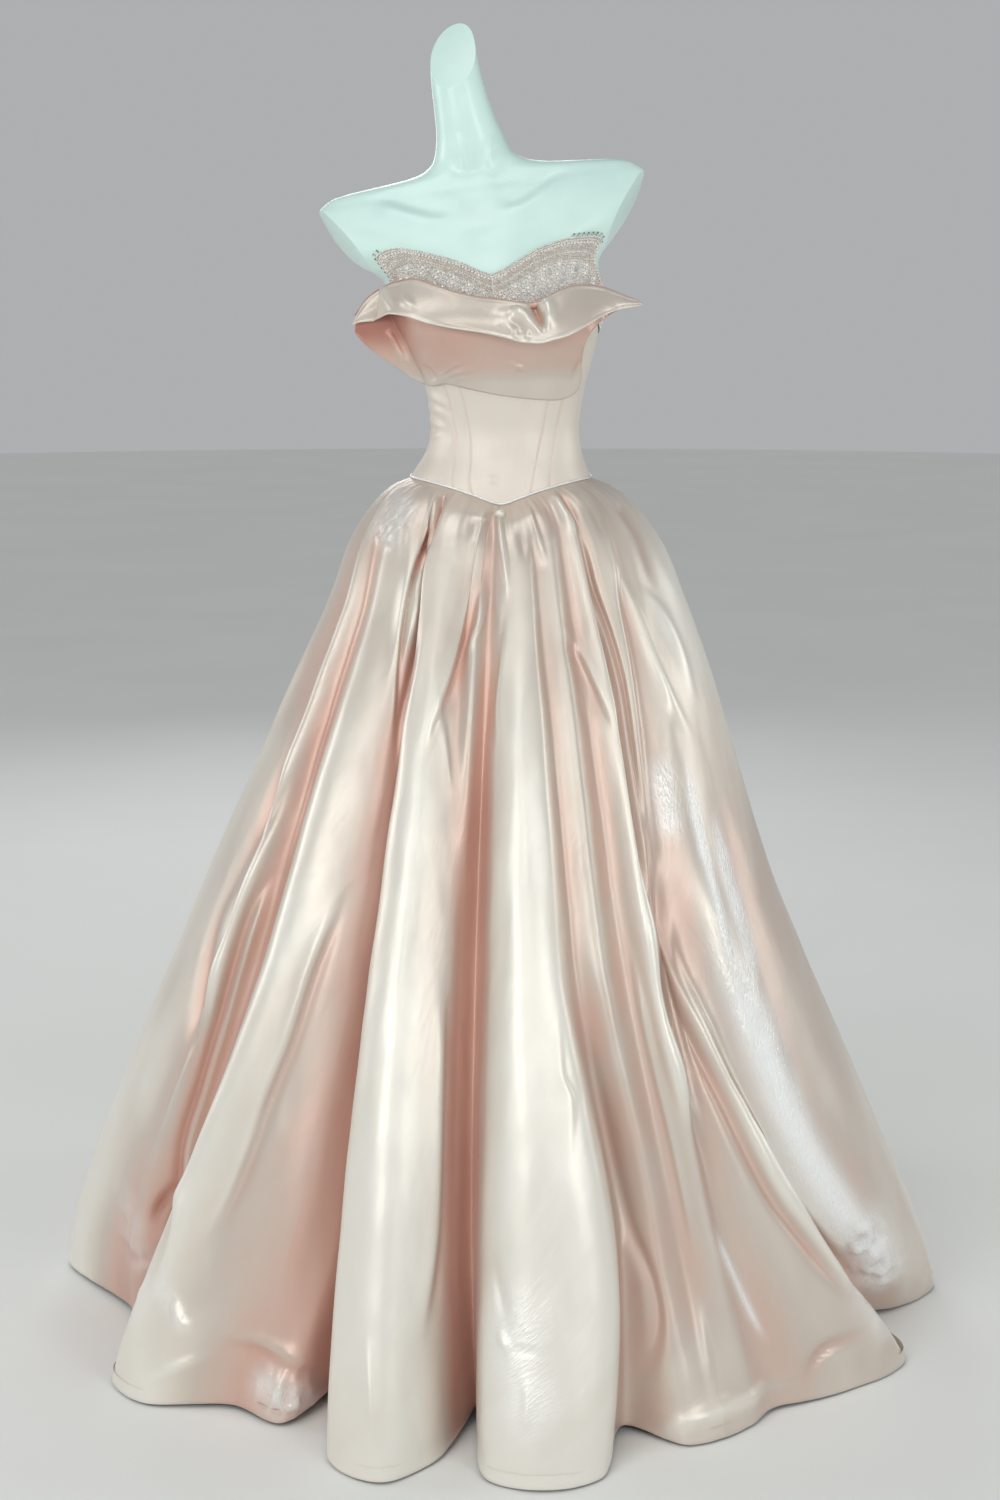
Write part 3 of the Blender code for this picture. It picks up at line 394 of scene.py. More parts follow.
DRAPE_FLAP_MARKS = (
    ("ridge", 5, 5, 4, ((-0.146, 1.358), (-0.138, 1.342), (-0.130, 1.322))),
    ("ridge", 4, 6, 6, ((-0.125, 1.345), (-0.112, 1.335), (-0.098, 1.328))),
    ("ridge", -13, 4, 4, ((0.035, 1.347), (0.041, 1.332), (0.048, 1.318), (0.055, 1.300))),
    ("ridge", 8, 5, 4, ((0.010, 1.330), (0.026, 1.324), (0.038, 1.312), (0.050, 1.298))),
    ("ridge", 6, 4, 7, ((0.049, 1.346), (0.058, 1.328), (0.060, 1.302))),
    ("ridge", -4, 6, 5, ((0.004, 1.318), (0.018, 1.312), (0.032, 1.298))),
    ("ridge", 3, 3, 3, ((0.018, 1.306), (0.020, 1.297), (0.024, 1.291))),
    ("ridge", 3, 3, 3, ((0.032, 1.305), (0.034, 1.297), (0.036, 1.290))),
    ("ridge", 4, 10, 14, ((0.000, 1.334), (0.006, 1.315), (0.016, 1.298))),
)
DRAPE_PANEL_MARKS = (
    ("ridge", 3, 2.5, 2.5, ((-0.082, 1.234), (-0.066, 1.246), (-0.048, 1.253), (-0.024, 1.256))),
    ("ridge", 2.5, 2.2, 2.2, ((-0.080, 1.238), (-0.068, 1.252), (-0.056, 1.261), (-0.040, 1.266))),
    ("ridge", 2, 2.2, 2.2, ((-0.076, 1.234), (-0.058, 1.243), (-0.036, 1.247))),
    ("ridge", 3, 3, 3, ((-0.100, 1.231), (-0.086, 1.236), (-0.070, 1.240))),
    ("ridge", -3, 3, 3, ((-0.100, 1.262), (-0.088, 1.254), (-0.076, 1.240))),
    ("ridge", 1.5, 3, 3, ((0.000, 1.267), (0.020, 1.260), (0.042, 1.251))),
    ("ridge", 1.2, 3, 3, ((0.006, 1.250), (0.022, 1.258), (0.038, 1.265))),
    ("lap", -3, 5, 6, ((0.106, 1.275), (0.096, 1.254), (0.086, 1.234))),
    ("ridge", 4, 5, 5, ((-0.139, 1.305), (-0.133, 1.290), (-0.125, 1.274), (-0.112, 1.250))),
)
BODICE_MARKS = (
    ("ridge", 3.5, 5, 4, ((-0.094, 1.228), (-0.078, 1.218), (-0.056, 1.206))),
    ("ridge", 3.0, 5, 4, ((-0.096, 1.212), (-0.078, 1.204), (-0.058, 1.195))),
    ("ridge", 3.0, 5, 4, ((-0.094, 1.196), (-0.080, 1.187), (-0.064, 1.179))),
    ("ridge", 2.5, 5, 4, ((-0.096, 1.168), (-0.082, 1.172), (-0.066, 1.174))),
    ("ridge", 2.0, 7, 7, ((-0.066, 1.205), (-0.058, 1.180), (-0.056, 1.150))),
    ("ridge", 1.2, 4, 4, ((0.034, 1.142), (0.043, 1.138), (0.050, 1.140))),
    ("ridge", 1.2, 4, 4, ((-0.020, 1.119), (-0.010, 1.121), (0.002, 1.118))),
)
FORM_MARKS = (
    ("lap", 5.0, 16, 12, ((-0.150, 1.459), (-0.107, 1.446), (-0.078, 1.439), (-0.050, 1.438))),
    ("lap", 5.0, 16, 12, ((0.000, 1.447), (0.026, 1.457), (0.053, 1.475), (0.090, 1.500))),
    ("ridge", -3.5, 7, 7, ((-0.032, 1.475), (-0.031, 1.455), (-0.031, 1.430))),
    ("ridge", 2.5, 6, 6, ((-0.052, 1.540), (-0.044, 1.490), (-0.038, 1.445))),
    ("ridge", 2.5, 6, 6, ((-0.010, 1.540), (-0.016, 1.490), (-0.024, 1.445))),
    ("ridge", -3.0, 18, 18, ((-0.028, 1.430), (-0.018, 1.400), (-0.006, 1.370))),
)

# Each stretch of the skirt's rows: the drop where it ends and its number of rows
SKIRT_ROWS = ((0.030, 16), (0.200, 48), (SKIRT_LENGTH, 170))
# The turned hem row by row: how far in from the outside and how far up, in millimetres
HEM_ROWS = ((0.6, -0.7), (1.8, -0.4), (2.4, 2.0), (2.6, 16.0))
STITCH_UP = 0.020
STITCH_SINK = 0.0006
STITCH_WIDE = 0.003
MARKS_FULL_DROP = 0.012
GATHERS_FULL_DROP = 0.008
# Cells of the smooth noise each way, before it repeats
NOISE_CELLS = 32
# Soft swells of the cloth: rise, size each way and seed
SKIRT_SWELLS = ((0.0016, (0.045, 0.045, 0.30), 11), (0.0005, (0.016, 0.016, 0.09), 12))
DRAPE_SWELL = (0.0012, (0.05, 0.05, 0.03), 21)

# Tones of the skirt run from 0, pale, to 1, deep: painted highlight where it stands out of its
# smooth shape, painted shade deep in its folds. At each drop: how deep a usual fold is there, and
# how much its depth changes the painted shade
FOLD_DEPTHS = ((0.0, 0.010), (0.165, 0.022), (0.515, 0.052), (SKIRT_LENGTH, 0.085))
FOLD_TINTS = ((0.0, 0.25), (0.15, 0.35), (0.40, 0.62), (SKIRT_LENGTH, 0.70))
LEVEL_TONE = 0.32
DEEPEST_TONE = 0.56
# Raised marks get painted highlight and sunk ones painted shade, so much per metre of rise
MARK_PAINTED_LIGHT = 30.0
# The painted shade is lighter on the wearer's left, in its folds and in its creases, and its lobe
# has a painted shade of its own where it faces forward
LEFT_FROM = 0.04
LEFT_FULL = 0.10
LEFT_FOLDS_LESS_SHADE = 0.14
LEFT_MARKS_LESS_SHADE = 0.60
LOBE_PAINTED_SHADE = 0.25
LOBE_ACROSS = (0.15, 0.24)
LOBE_HEIGHT = (0.85, 0.60)

# The bodice, with its seams sunk a little and its top edge turned in
BODICE_FINE_ROWS = 96
BODICE_TURN_SHARE = 0.985
BODICE_MARKS_FROM = 0.06
BODICE_TONE = 0.12
SEAM_TONE = 0.35
SEAM_SINK = 0.0007
SEAM_SOFT = 0.0022
BACK_RADIUS = 0.09
ZIP_GAP_DEG = math.degrees(ZIP_HALF / BACK_RADIUS)
WAIST_SEARCH_DEG = 25.0
WAIST_HALVINGS = 30

# The drape: how its surface is found, smoothed and rolled at its edge. Counts are of its rows
DEPTH_HALVINGS = 24
SIDE_DEG = 89.0
TIP_ACROSS = (0.080, 0.105)
TIP_ROWS = 3.0
TIP_SMOOTHING = 60
TIP_STEP = 0.5
MARKS_FULL_ROW = 4.0
SWELL_FULL_ROW = 8.0
EDGE_ROLL = 0.0010
EDGE_ROLL_ROWS = 1.2
# Tones of the drape: its flap is deeper about one place and has a painted highlight at its edge;
# its panel has a painted highlight at the hem and painted shade under the fold and inside the loop
FLAP_TONE = 0.22
FLAP_BLUSH = 0.10
FLAP_BLUSH_X = -0.035
FLAP_BLUSH_WIDE = 0.055
FLAP_EDGE_HIGHLIGHT = 0.15
PANEL_TONE = 0.45
PANEL_HEM_HIGHLIGHT = 0.2
PANEL_HEM_HEIGHT = (1.264, 1.236)
UNDER_FOLD_SHADE = 0.10
UNDER_FOLD_HEIGHT = (1.262, 1.330)
LOOP_SHADE = 0.40
LOOP_ACROSS = (-0.098, -0.135)
LOOP_HEIGHT = (1.262, 1.300)
# Raised creases of the drape get painted highlight and sunk ones painted shade, so much per metre
DRAPE_MARK_PAINTED_LIGHT = 26.0

LACE_OUT = EASE + SATIN + LACE_GAP
LACE_TURN_SHARE = 0.99
LACE_FINE_ROWS = 26
LACE_DEGS = 360

# Beads: rows along the lace, with distances in millimetres and the angles each runs between, then
# short columns, beads that stand on the edge, rosettes of petals, and scattered seeds
BEAD_SIDES = 6
BEAD_RINGS = 4
ROW_COLUMNS = ("kind", "down", "radius", "spacing", "first", "last")
BEAD_ROWS = (
    ("silver", 0.3, 1.10, 2.5, -176, 176),
    ("pearl", 3.0, 0.90, 2.1, -176, 176),
    ("pearl", 6.2, 1.50, 4.4, -176, 176),
    ("taupe", 9.4, 0.70, 1.6, -176, 176),
    ("taupe", 11.1, 0.85, 1.8, -176, 176),
    ("taupe", 12.8, 0.70, 1.6, -176, 176),
    ("pearl", 15.4, 1.00, 3.4, -176, 176),
    ("taupe", 18.0, 0.70, 1.6, -176, 176),
    ("taupe", 19.7, 0.85, 1.8, -176, 176),
    ("taupe", 21.4, 0.70, 1.6, -176, 176),
)
BEAD_COLUMNS = (0.0, 60.0, 66.0)
COLUMN_TOP = 0.002
COLUMN_DEPTH = 0.032
COLUMN_SPACING = 0.0021
COLUMN_OUT = 0.0005
COLUMN_RADIUS = 0.00095
ROSETTE_SPACING = 0.021
ROSETTE_DOWNS = (0.0275, 0.0375)
ROSETTE_ENDS_DEG = 172.0
ROSETTE_SHIFT_DEG = 5.0
ROSETTE_OUT = 0.0008
ROSETTE_RADIUS = 0.0023
PETALS = 8
PETAL_OUT = 0.0004
PETAL_RINGS = ((0.0036, 0.0011, "pearl"), (0.0056, 0.0008, "silver"))
CHEST_RADIUS = 0.11
STANDING_BEADS = ((-68.0, -40.0), (36.0, 62.0))
STANDING_SPACING = 0.0064
STANDING_ROWS = ((-0.0016, 0.0010), (-0.0036, 0.0014))
SCATTERED_SEEDS = 900
SCATTER_SEED = 5
SCATTER_DEG = 174.0
SCATTER_DOWN = (0.002, 0.036)
SCATTER_OUT = 0.0003
SCATTER_RADIUS = 0.00065
BEAD_PATH_POINTS = 1500

# Piping and knot of the waist. The piping is moved out and up by shares of its radius
PIPING_RADIUS = 0.0015
PIPING_POINTS = 460
PIPING_SIDES = 8
PIPING_OUT = 0.5
PIPING_UP = 0.7
KNOT_SIZE = (0.0062, 0.0042, 0.0050)
KNOT_DROP = 0.0090
KNOT_OUT = 0.0065
KNOT_RUMPLE = 0.0009
KNOT_GRAIN = 0.6
KNOT_SEED = 31
KNOT_COLUMNS = 25
KNOT_ROWS = 16
KNOT_END = 0.02

# The closed zip. Its teeth stand out by a share of their depth, and it runs between two shares of
# the bodice's height
TOOTH_SIZE = (0.0011, 0.0007, 0.0004)
TOOTH_SPACING = 0.0015
TOOTH_SHIFT = 0.0004
ZIP_THICK = 0.0022
SLIDER_SIZE = (0.0023, 0.0016, 0.0038)
PULL_SIZE = (0.0014, 0.0005, 0.0075)
TOOTH_OUT = 0.8
ZIP_SHARES = (0.01, 0.95)
ZIP_DEG = 180.0
SLIDER_UP = 0.002

# The form's mesh
RIM_ROUND = 0.0022
RIM_STEPS = 3
SHARP_DEG = 35.0
FORM_COLUMNS_ROUND = 144
FORM_FINE_ROWS = 260

# Lights: kind, name, place, height aimed at, size (metres, or degrees for the sun) and power
LIGHT_COLOUR = (0.98, 1.0, 0.97)
LIGHTS = (
    ("AREA", "left_softbox", (-1.7, -3.1, 1.7), 0.75, 1.2, 20.5),
    ("AREA", "right_softbox", (1.9, -2.9, 1.6), 0.75, 1.1, 17.5),
    ("AREA", "front_softbox", (0.1, -3.7, 2.3), 0.8, 0.9, 12.0),
    ("AREA", "left_side_light", (-3.3, 0.3, 1.5), 0.7, 1.4, 17.0),
    ("AREA", "right_side_light", (3.3, 0.3, 1.5), 0.7, 1.4, 15.0),
    ("AREA", "back_light", (-0.6, 3.3, 2.2), 0.8, 1.8, 20.0),
    ("SUN", "even_light", (-0.6, -1.2, 3.0), 0.8, 40.0, 0.80),
)
STUDIO_TONES = ((0.10, (0.42, 0.43, 0.44)), (0.35, (0.24, 0.25, 0.26)))
FLOOR_RADIUS = 14.0
FLOOR_SIDES = 96
FLOOR_TONES = ((0.3, (0.80, 0.80, 0.79)), (0.7, (0.83, 0.83, 0.82)))
FLOOR_CLOUDS = 1.5
FLOOR_ROUGHNESS = 0.85

# Satin: colours by tone, scales as bumps per metre across and down the cloth, and bumps as height
# and strength
# Towards their pale end these tones add painted highlight, towards their deep end painted shade in the
# folds
SKIRT_TONES = (
    (0.00, (0.87, 0.83, 0.76)),
    (0.14, (0.80, 0.73, 0.65)),
    (0.30, (0.66, 0.57, 0.50)),
    (0.52, (0.70, 0.46, 0.38)),
    (1.00, (0.48, 0.17, 0.13)),
)
BODICE_TONES = (
    (0.00, (0.83, 0.76, 0.68)),
    (0.50, (0.77, 0.655, 0.57)),
    (1.00, (0.66, 0.43, 0.37)),
)
BLUSH_ROUGHNESS = 0.38
BLUSH_METALLIC = 0.34
BODICE_ROUGHNESS = 0.46
BODICE_METALLIC = 0.18
TONE_DRIFT = 0.08
DRIFT_SCALE = (9.0, 4.0, 1.0)
THREAD_SCALE = (1100.0, 30.0, 1.0)
RIPPLE_SCALE = (60.0, 16.0, 1.0)
FOIL_SCALE = (330.0, 120.0, 1.0)
THREAD_BUMP = (0.0003, 0.5)
RIPPLE_BUMP = (0.0012, 0.3)
FOIL_BUMP = (0.0022, 1.0)
THREAD_GLOSS = 0.05
FOIL_SHINE = 0.23
FOIL_METALLIC = 0.1
# White mixed into the satin's colour where it is foil-like: a painted highlight
FOIL_HIGHLIGHT_COLOUR = (1.0, 1.0, 1.0, 1.0)
SATIN_SHEEN = {
    "Specular IOR Level": 0.75,
    "Anisotropic": 0.35,
    "Sheen Weight": 0.15,
    "Sheen Roughness": 0.45,
    "Sheen Tint": (1.0, 0.96, 0.93, 1.0),
}

# The form's shell, the steel and the zip's tape: tones, range of roughness, scales and bumps
SHELL_TONES = ((0.35, (0.69, 0.91, 0.86)), (0.65, (0.74, 0.96, 0.90)))
SHELL_ROUGHNESS = (0.30, 0.38)
SHELL_CLOUDS = 14.0
SHELL_GRAIN = 420.0
SHELL_CLOUD_BUMP = (0.0012, 0.3)
SHELL_GRAIN_BUMP = (0.0002, 0.3)
SHELL_COAT = {"Coat Weight": 0.25, "Coat Roughness": 0.2}
STEEL_TONES = ((0.3, (0.52, 0.53, 0.54)), (0.7, (0.66, 0.67, 0.68)))
STEEL_ROUGHNESS = (0.24, 0.38)
STEEL_SCALE = (30.0, 30.0, 1800.0)
STEEL_BUMP = (0.0002, 0.4)
TAPE_TONES = ((0.35, (0.70, 0.56, 0.51)), (0.65, (0.84, 0.71, 0.65)))
TAPE_ROUGHNESS = (0.55, 0.75)
TAPE_SCALE = (2600.0, 2600.0, 1500.0)
TAPE_BUMP = (0.0003, 0.8)

# The lace under the beads, with how plain and how outlined it is as its patterns rise
LACE_TONES = (
    (0.00, (0.90, 0.87, 0.82)),
    (0.40, (0.97, 0.95, 0.91)),
    (1.00, (1.00, 0.99, 0.96)),
)
LACE_OUTLINE = (0.56, 0.51, 0.48, 1.0)
PLAIN_LACE = (0.97, 0.93, 0.87, 1.0)
PLAIN_SHARES = ((0.52, (0.0, 0.0, 0.0)), (0.60, (0.85, 0.85, 0.85)))
OUTLINE_SHARES = ((0.05, (0.6, 0.6, 0.6)), (0.14, (0.0, 0.0, 0.0)))
LACE_ROUGHNESS = (0.22, 0.50)
MOTIF_SCALE = 75.0
PETAL_SCALE = 190.0
SEED_SCALE = 640.0
MOTIF_BUMP = (0.0015, 0.6)
SEED_BUMP = (0.0012, 0.9)
LACE_SHEEN = {"Metallic": 0.30, "Sheen Weight": 0.2}
# The beads: light and dark tone, metallic and roughness
BEAD_LOOKS = {
    "silver": ((0.98, 0.98, 0.96), (0.80, 0.78, 0.75), 0.3, 0.20),
    "pearl": ((0.98, 0.96, 0.92), (0.92, 0.86, 0.80), 0.0, 0.25),
    "dark": ((0.50, 0.44, 0.42), (0.22, 0.18, 0.17), 0.7, 0.22),
    "taupe": ((0.88, 0.81, 0.74), (0.72, 0.64, 0.57), 0.2, 0.28),
}
BEAD_CELLS = 300.0
BEAD_ROUGHER = 0.12
BEAD_COAT = 0.3


def curve(xs, ys, x):
    """A smooth curve through the points, with no overshoot between them and level past the ends."""
    xs, ys = np.asarray(xs, float), np.asarray(ys, float)
    gaps = np.diff(xs)
    slopes = np.diff(ys) / gaps
    before, after = slopes[:-1], slopes[1:]
    tangents = np.concatenate([slopes[:1], np.zeros(len(xs) - 2), slopes[-1:]])
    same = before * after > 0
    tangents[1:-1][same] = 2 * (before * after)[same] / (before + after)[same]
    x = np.clip(x, xs[0], xs[-1])
    i = np.clip(np.searchsorted(xs, x, side="right") - 1, 0, len(xs) - 2)
    t = (x - xs[i]) / gaps[i]
    return (
        ys[i] * (1 + 2 * t) * (1 - t) ** 2
        + ys[i + 1] * t * t * (3 - 2 * t)
        + tangents[i] * gaps[i] * t * (1 - t) ** 2
        - tangents[i + 1] * gaps[i] * t * t * (1 - t)
    )


def smooth_step(low, high, x):
    t = np.clip((x - low) / (high - low), 0.0, 1.0)
    return t * t * (3 - 2 * t)


def table_of(rows, names):
    return {name: [row[at] for row in rows] for at, name in enumerate(names)}


FORM_TABLE = table_of(FORM_ROWS, FORM_COLUMNS)
SKIRT_TABLE = table_of(SKIRT_PROFILE, SKIRT_COLUMNS)
DRAPE_TABLE = table_of(DRAPE_STATIONS, DRAPE_COLUMNS)
FOLD_TABLE = table_of(FOLDS, FOLD_COLUMNS)


def noise(points, size, seed):
    """Smooth noise from -1 to 1 at each point; its bumps are about size across, each way."""
    values = np.random.default_rng(seed).uniform(-1.0, 1.0, (NOISE_CELLS,) * 3)
    spot = points / np.asarray(size, float)
    cell = np.floor(spot).astype(int)
    t = spot - cell
    t = t * t * (3 - 2 * t)
    total = 0.0
    for corner in itertools.product((0, 1), repeat=3):
        at = (cell + corner) % NOISE_CELLS
        weight = np.where(corner, t, 1 - t).prod(axis=-1)
        total = total + weight * values[at[..., 0], at[..., 1], at[..., 2]]
    return total


def unit(vectors):
    return vectors / np.maximum(np.linalg.norm(vectors, axis=-1, keepdims=True), 1e-12)


def facing(grid, wraps=False):
    """The outward direction at each point of a grid, from its neighbours."""
    down = np.gradient(grid, axis=0)
    if wraps:
        across = np.roll(grid, -1, axis=1) - np.roll(grid, 1, axis=1)
    else:
        across = np.gradient(grid, axis=1)
    return unit(np.cross(down, across))


def lengths(grid, axis):
    """How far each point of a grid is along its row or column, measured on the cloth."""
    steps = np.linalg.norm(np.diff(grid, axis=axis), axis=-1)
    return np.insert(np.cumsum(steps, axis=axis), 0, 0.0, axis=axis)


def form_point(height, deg, out=0.0):
    """Points on the form's surface, or a distance out from it."""
    height, deg, out = np.broadcast_arrays(*(np.asarray(v, float) for v in (height, deg, out)))
    section = {
        name: curve(FORM_TABLE["height"], FORM_TABLE[name], height) for name in FORM_COLUMNS[1:]
    }
    angle = np.radians(deg)
    sine, cosine = np.sin(angle), np.cos(angle)
    depth = np.where(cosine > 0, section["front"], section["back"])
    rise = np.exp(-(((height - BUST_HEIGHT) / BUST_TALL) ** 2))
    spread = np.exp(-(((np.abs(deg) - BUST_DEG) / BUST_SPREAD_DEG) ** 2))
    swell = out + BUST_SWELL * rise * spread
    power = 2 / ROUNDNESS
    x = section["centre_x"] + (section["side"] + swell) * np.sign(sine) * np.abs(sine) ** power
    y = section["centre_y"] - (depth + swell) * np.sign(cosine) * np.abs(cosine) ** power
    lean = SHOULDER_SLOPE * smooth_step(LEAN_STARTS, LEAN_FULL, height)
    return np.stack([x, y, height + lean * x], axis=-1)


def seam_height(x, y):
    """The waist seam is level at the sides and back and dips to a blunt point in front."""
    away = np.degrees(np.arctan2(x, -y)) / BASQUE_DEG
    reach = np.hypot(away, BASQUE_BLUNT) - BASQUE_BLUNT
    share = 1 - reach / (math.hypot(1.0, BASQUE_BLUNT) - BASQUE_BLUNT)
    return SEAM_HEIGHT - BASQUE_DROP * np.maximum(share, 0.0) ** BASQUE_EASE


def neckline(deg):
    right = curve(*zip(*NECKLINE_RIGHT), np.abs(deg))
    left = curve(*zip(*NECKLINE_LEFT), np.abs(deg))
    return np.where(np.asarray(deg) < 0, right, left)


def bodice_height(share, deg):
    """Height on the form: share runs from the waist seam, 0, to the top edge, 1."""
    level = form_point(SEAM_HEIGHT, deg)
    low = seam_height(level[..., 0], level[..., 1])
    return low + (neckline(deg) - low) * share


def bodice_point(share, deg, out):
    return form_point(bodice_height(share, deg), deg, out)


def seam_deg(seam, share):
    """The angle of a bodice seam at a share of the bodice's height."""
    height = seam[0][0] + (seam[-1][0] - seam[0][0]) * share
    return curve(*zip(*seam), height)


def waist_point(deg):
    """The bodice's wall at the waist seam, at an angle seen from above."""
    target = (deg + 180.0) % 360.0 - 180.0
    low, high = target - WAIST_SEARCH_DEG, target + WAIST_SEARCH_DEG
    for _ in range(WAIST_HALVINGS):
        middle = (low + high) / 2
        point = bodice_point(0.0, (middle + 180.0) % 360.0 - 180.0, EASE + SATIN / 2)
        seen = np.degrees(np.arctan2(point[..., 0], -point[..., 1]))
        short = (seen - target + 180.0) % 360.0 - 180.0 < 0
        low, high = np.where(short, middle, low), np.where(short, high, middle)
    return point


def smooth_radius(deg, drop):
    """How far the unfolded skirt stands from the pole."""
    sine, cosine = np.sin(np.radians(deg)), np.cos(np.radians(deg))
    side = curve(SKIRT_TABLE["drop"], SKIRT_TABLE["side"], drop)
    front = curve(SKIRT_TABLE["drop"], SKIRT_TABLE["front"], drop)
    back = curve(SKIRT_TABLE["drop"], SKIRT_TABLE["back"], drop)
    depth = np.where(cosine > 0, front, back)
    waist = waist_point(deg)
    oval = ((sine / np.maximum(side, 1e-9)) ** 2 + (cosine / np.maximum(depth, 1e-9)) ** 2) ** -0.5
    return np.hypot(waist[..., 0], waist[..., 1]) + np.where(drop > SKIRT_TOP, oval, 0.0)


def smooth_skirt(deg, drop, stands_out=0.0, hem=HEM_LOW):
    """Points of the skirt at an angle and a drop below the seam, standing out of its smooth shape."""
    radius = smooth_radius(deg, drop) + stands_out
    top = waist_point(deg)[..., 2]
    height = top + (hem - top) * drop / SKIRT_LENGTH
    angle = np.radians(deg)
    return np.stack([radius * np.sin(angle), -radius * np.cos(angle), height], axis=-1)


def between(before, start, end, after, shares):
    """Points on the round stretch from start to end of a spline through four points, row by row."""
    knots = [np.zeros(start.shape[:-1] + (1,))]
    for a, b in ((before, start), (start, end), (end, after)):
        step = np.maximum(np.linalg.norm(b - a, axis=-1, keepdims=True), 1e-6) ** 0.5
        knots.append(knots[-1] + step)
    knots = [knot[:, None] for knot in knots]
    before, start, end, after = (line[:, None] for line in (before, start, end, after))
    x = knots[1] + (knots[2] - knots[1]) * shares[None, :, None]

    def mix(p, q, low, high):
        return p + (q - p) * ((x - low) / (high - low))

    a1 = mix(before, start, knots[0], knots[1])
    a2 = mix(start, end, knots[1], knots[2])
    a3 = mix(end, after, knots[2], knots[3])
    b1 = mix(a1, a2, knots[0], knots[2])
    b2 = mix(a2, a3, knots[1], knots[3])
    return mix(b1, b2, knots[1], knots[2])


def path_side(x, z, path):
    """How far points are from a path, positive on its left, how far along it, and its length."""
    path = np.array(path, float)
    steps = lengths(path, 0)
    fine = np.linspace(0.0, steps[-1], PATH_STEPS * (len(path) - 1) + 1)
    path = np.stack([curve(steps, path[:, 0], fine), curve(steps, path[:, 1], fine)], axis=-1)
    nearest = np.full(x.shape, np.inf)
    side, along = np.zeros(x.shape), np.zeros(x.shape)
    for i, (start, end) in enumerate(zip(path, path[1:])):
        run, fall = end - start
        length = max(math.hypot(run, fall), 1e-9)
        t = np.clip(((x - start[0]) * run + (z - start[1]) * fall) / length**2, 0.0, 1.0)
        away = np.hypot(x - start[0] - t * run, z - start[1] - t * fall)
        closer = away < nearest
        cross = (x - start[0]) * fall - (z - start[1]) * run
        nearest = np.where(closer, away, nearest)
        side = np.where(closer, np.where(cross < 0, -1.0, 1.0), side)
        along = np.where(closer, i + t, along)
    steps = lengths(path, 0)
    return nearest * side, np.interp(along, np.arange(len(steps)), steps), steps[-1]


def near_path(x, z, path, reach):
    xs, zs = zip(*path)
    across = (x > min(xs) - reach) & (x < max(xs) + reach)
    return across & (z > min(zs) - reach) & (z < max(zs) + reach)


def pressed(x, z, shows, marks):
    """How far the marks raise each point of what shows in the front view."""
    rise_all = np.zeros(x.shape)
    for kind, rise, left, right, path in marks:
        near = shows & near_path(x, z, path, 3 * MM * max(left, right))
        side, along, whole = path_side(x[near], z[near], path)
        width = MM * np.where(side > 0, left, right)
        shape = np.exp(-((side / width) ** 2))
        if kind == "lap":
            shape = shape * np.tanh(side / (LAP_SOFT * MM * min(left, right)))
        starts = MARK_NEAR_SEAM if path[0][1] > MARK_WAIST else MARK_FADE
        fade_in = min(starts, FADE_IN_SHARE * whole)
        fade_out = min(MARK_FADE, FADE_OUT_SHARE * whole)
        fade = smooth_step(0.0, fade_in, along) * smooth_step(whole, whole - fade_out, along)
        rise_all[near] += MM * rise * shape * fade
    return rise_all


def crumpled(grid, shows):
    """How far the crumpled places raise each point, and how foil-like the satin is there, with its white
    painted highlight.
    """
    x, z = grid[..., 0], grid[..., 2]
    rise_all, foil_and_highlight_all = np.zeros(x.shape), np.zeros(x.shape)
    for seed, row in enumerate(SKIRT_CRUMPLES):
        place = dict(zip(CRUMPLE_COLUMNS, row))
        reach = MM * place["reach"]
        near = shows & near_path(x, z, place["path"], 3 * reach)
        side, along, whole = path_side(x[near], z[near], place["path"])
        mask = np.exp(-((side / reach) ** 2))
        mask = mask * smooth_step(0.0, CRUMPLE_ENDS * whole, along)
        mask = mask * smooth_step(whole, (1 - CRUMPLE_ENDS) * whole, along)
        grain = MM * place["grain"]
        folds = 1 - 2 * np.abs(noise(grid[near], grain, CRUMPLE_SEEDS + seed))
        fine = noise(grid[near], grain / 2, CRUMPLE_FINE_SEEDS + seed)
        folds = folds + CRUMPLE_FINE_SHARE * fine
        rise_all[near] += MM * place["rise"] * mask * folds
        foil_and_highlight_all[near] = np.maximum(foil_and_highlight_all[near], place["foil_and_highlight"] * mask)
    return rise_all, foil_and_highlight_all


def add_mesh(name, points, faces, look):
    mesh = bpy.data.meshes.new(name)
    mesh.from_pydata(np.asarray(points).reshape(-1, 3).tolist(), [], faces)
    mesh.materials.append(look)
    mesh.shade_smooth()
    made = bpy.data.objects.new(name, mesh)
    bpy.context.scene.collection.objects.link(made)
    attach(made, BODY)
    return made


def add_attribute(piece, name, values, kind="FLOAT"):
    field = "value" if kind == "FLOAT" else "vector"
    made = piece.data.attributes.new(name, kind, "POINT")
    made.data.foreach_set(field, np.ascontiguousarray(values, np.float32).ravel())


def add_cloth(name, grid, look, fold=None, foil_and_highlight=None):
    """A sheet from a grid, with its place on the cloth, its tone, which on the skirt and drape is painted
    shade and painted highlight, and its foil-like crumpling, which also paints a white highlight.
    """
    rows, across = grid.shape[:2]
    index = np.arange(rows * across).reshape(rows, across)
    corners = (index[:-1, :-1], index[1:, :-1], index[1:, 1:], index[:-1, 1:])
    faces = np.stack(corners, axis=-1).reshape(-1, 4).tolist()
    made = add_mesh(name, grid, faces, look)
    place = np.stack([lengths(grid, 1), lengths(grid, 0), np.zeros((rows, across))], axis=-1)
    add_attribute(made, "cloth", place, "FLOAT_VECTOR")
    for name, values in (("fold", fold), ("foil_and_highlight", foil_and_highlight)):
        add_attribute(made, name, np.zeros((rows, across)) if values is None else values)
    return made


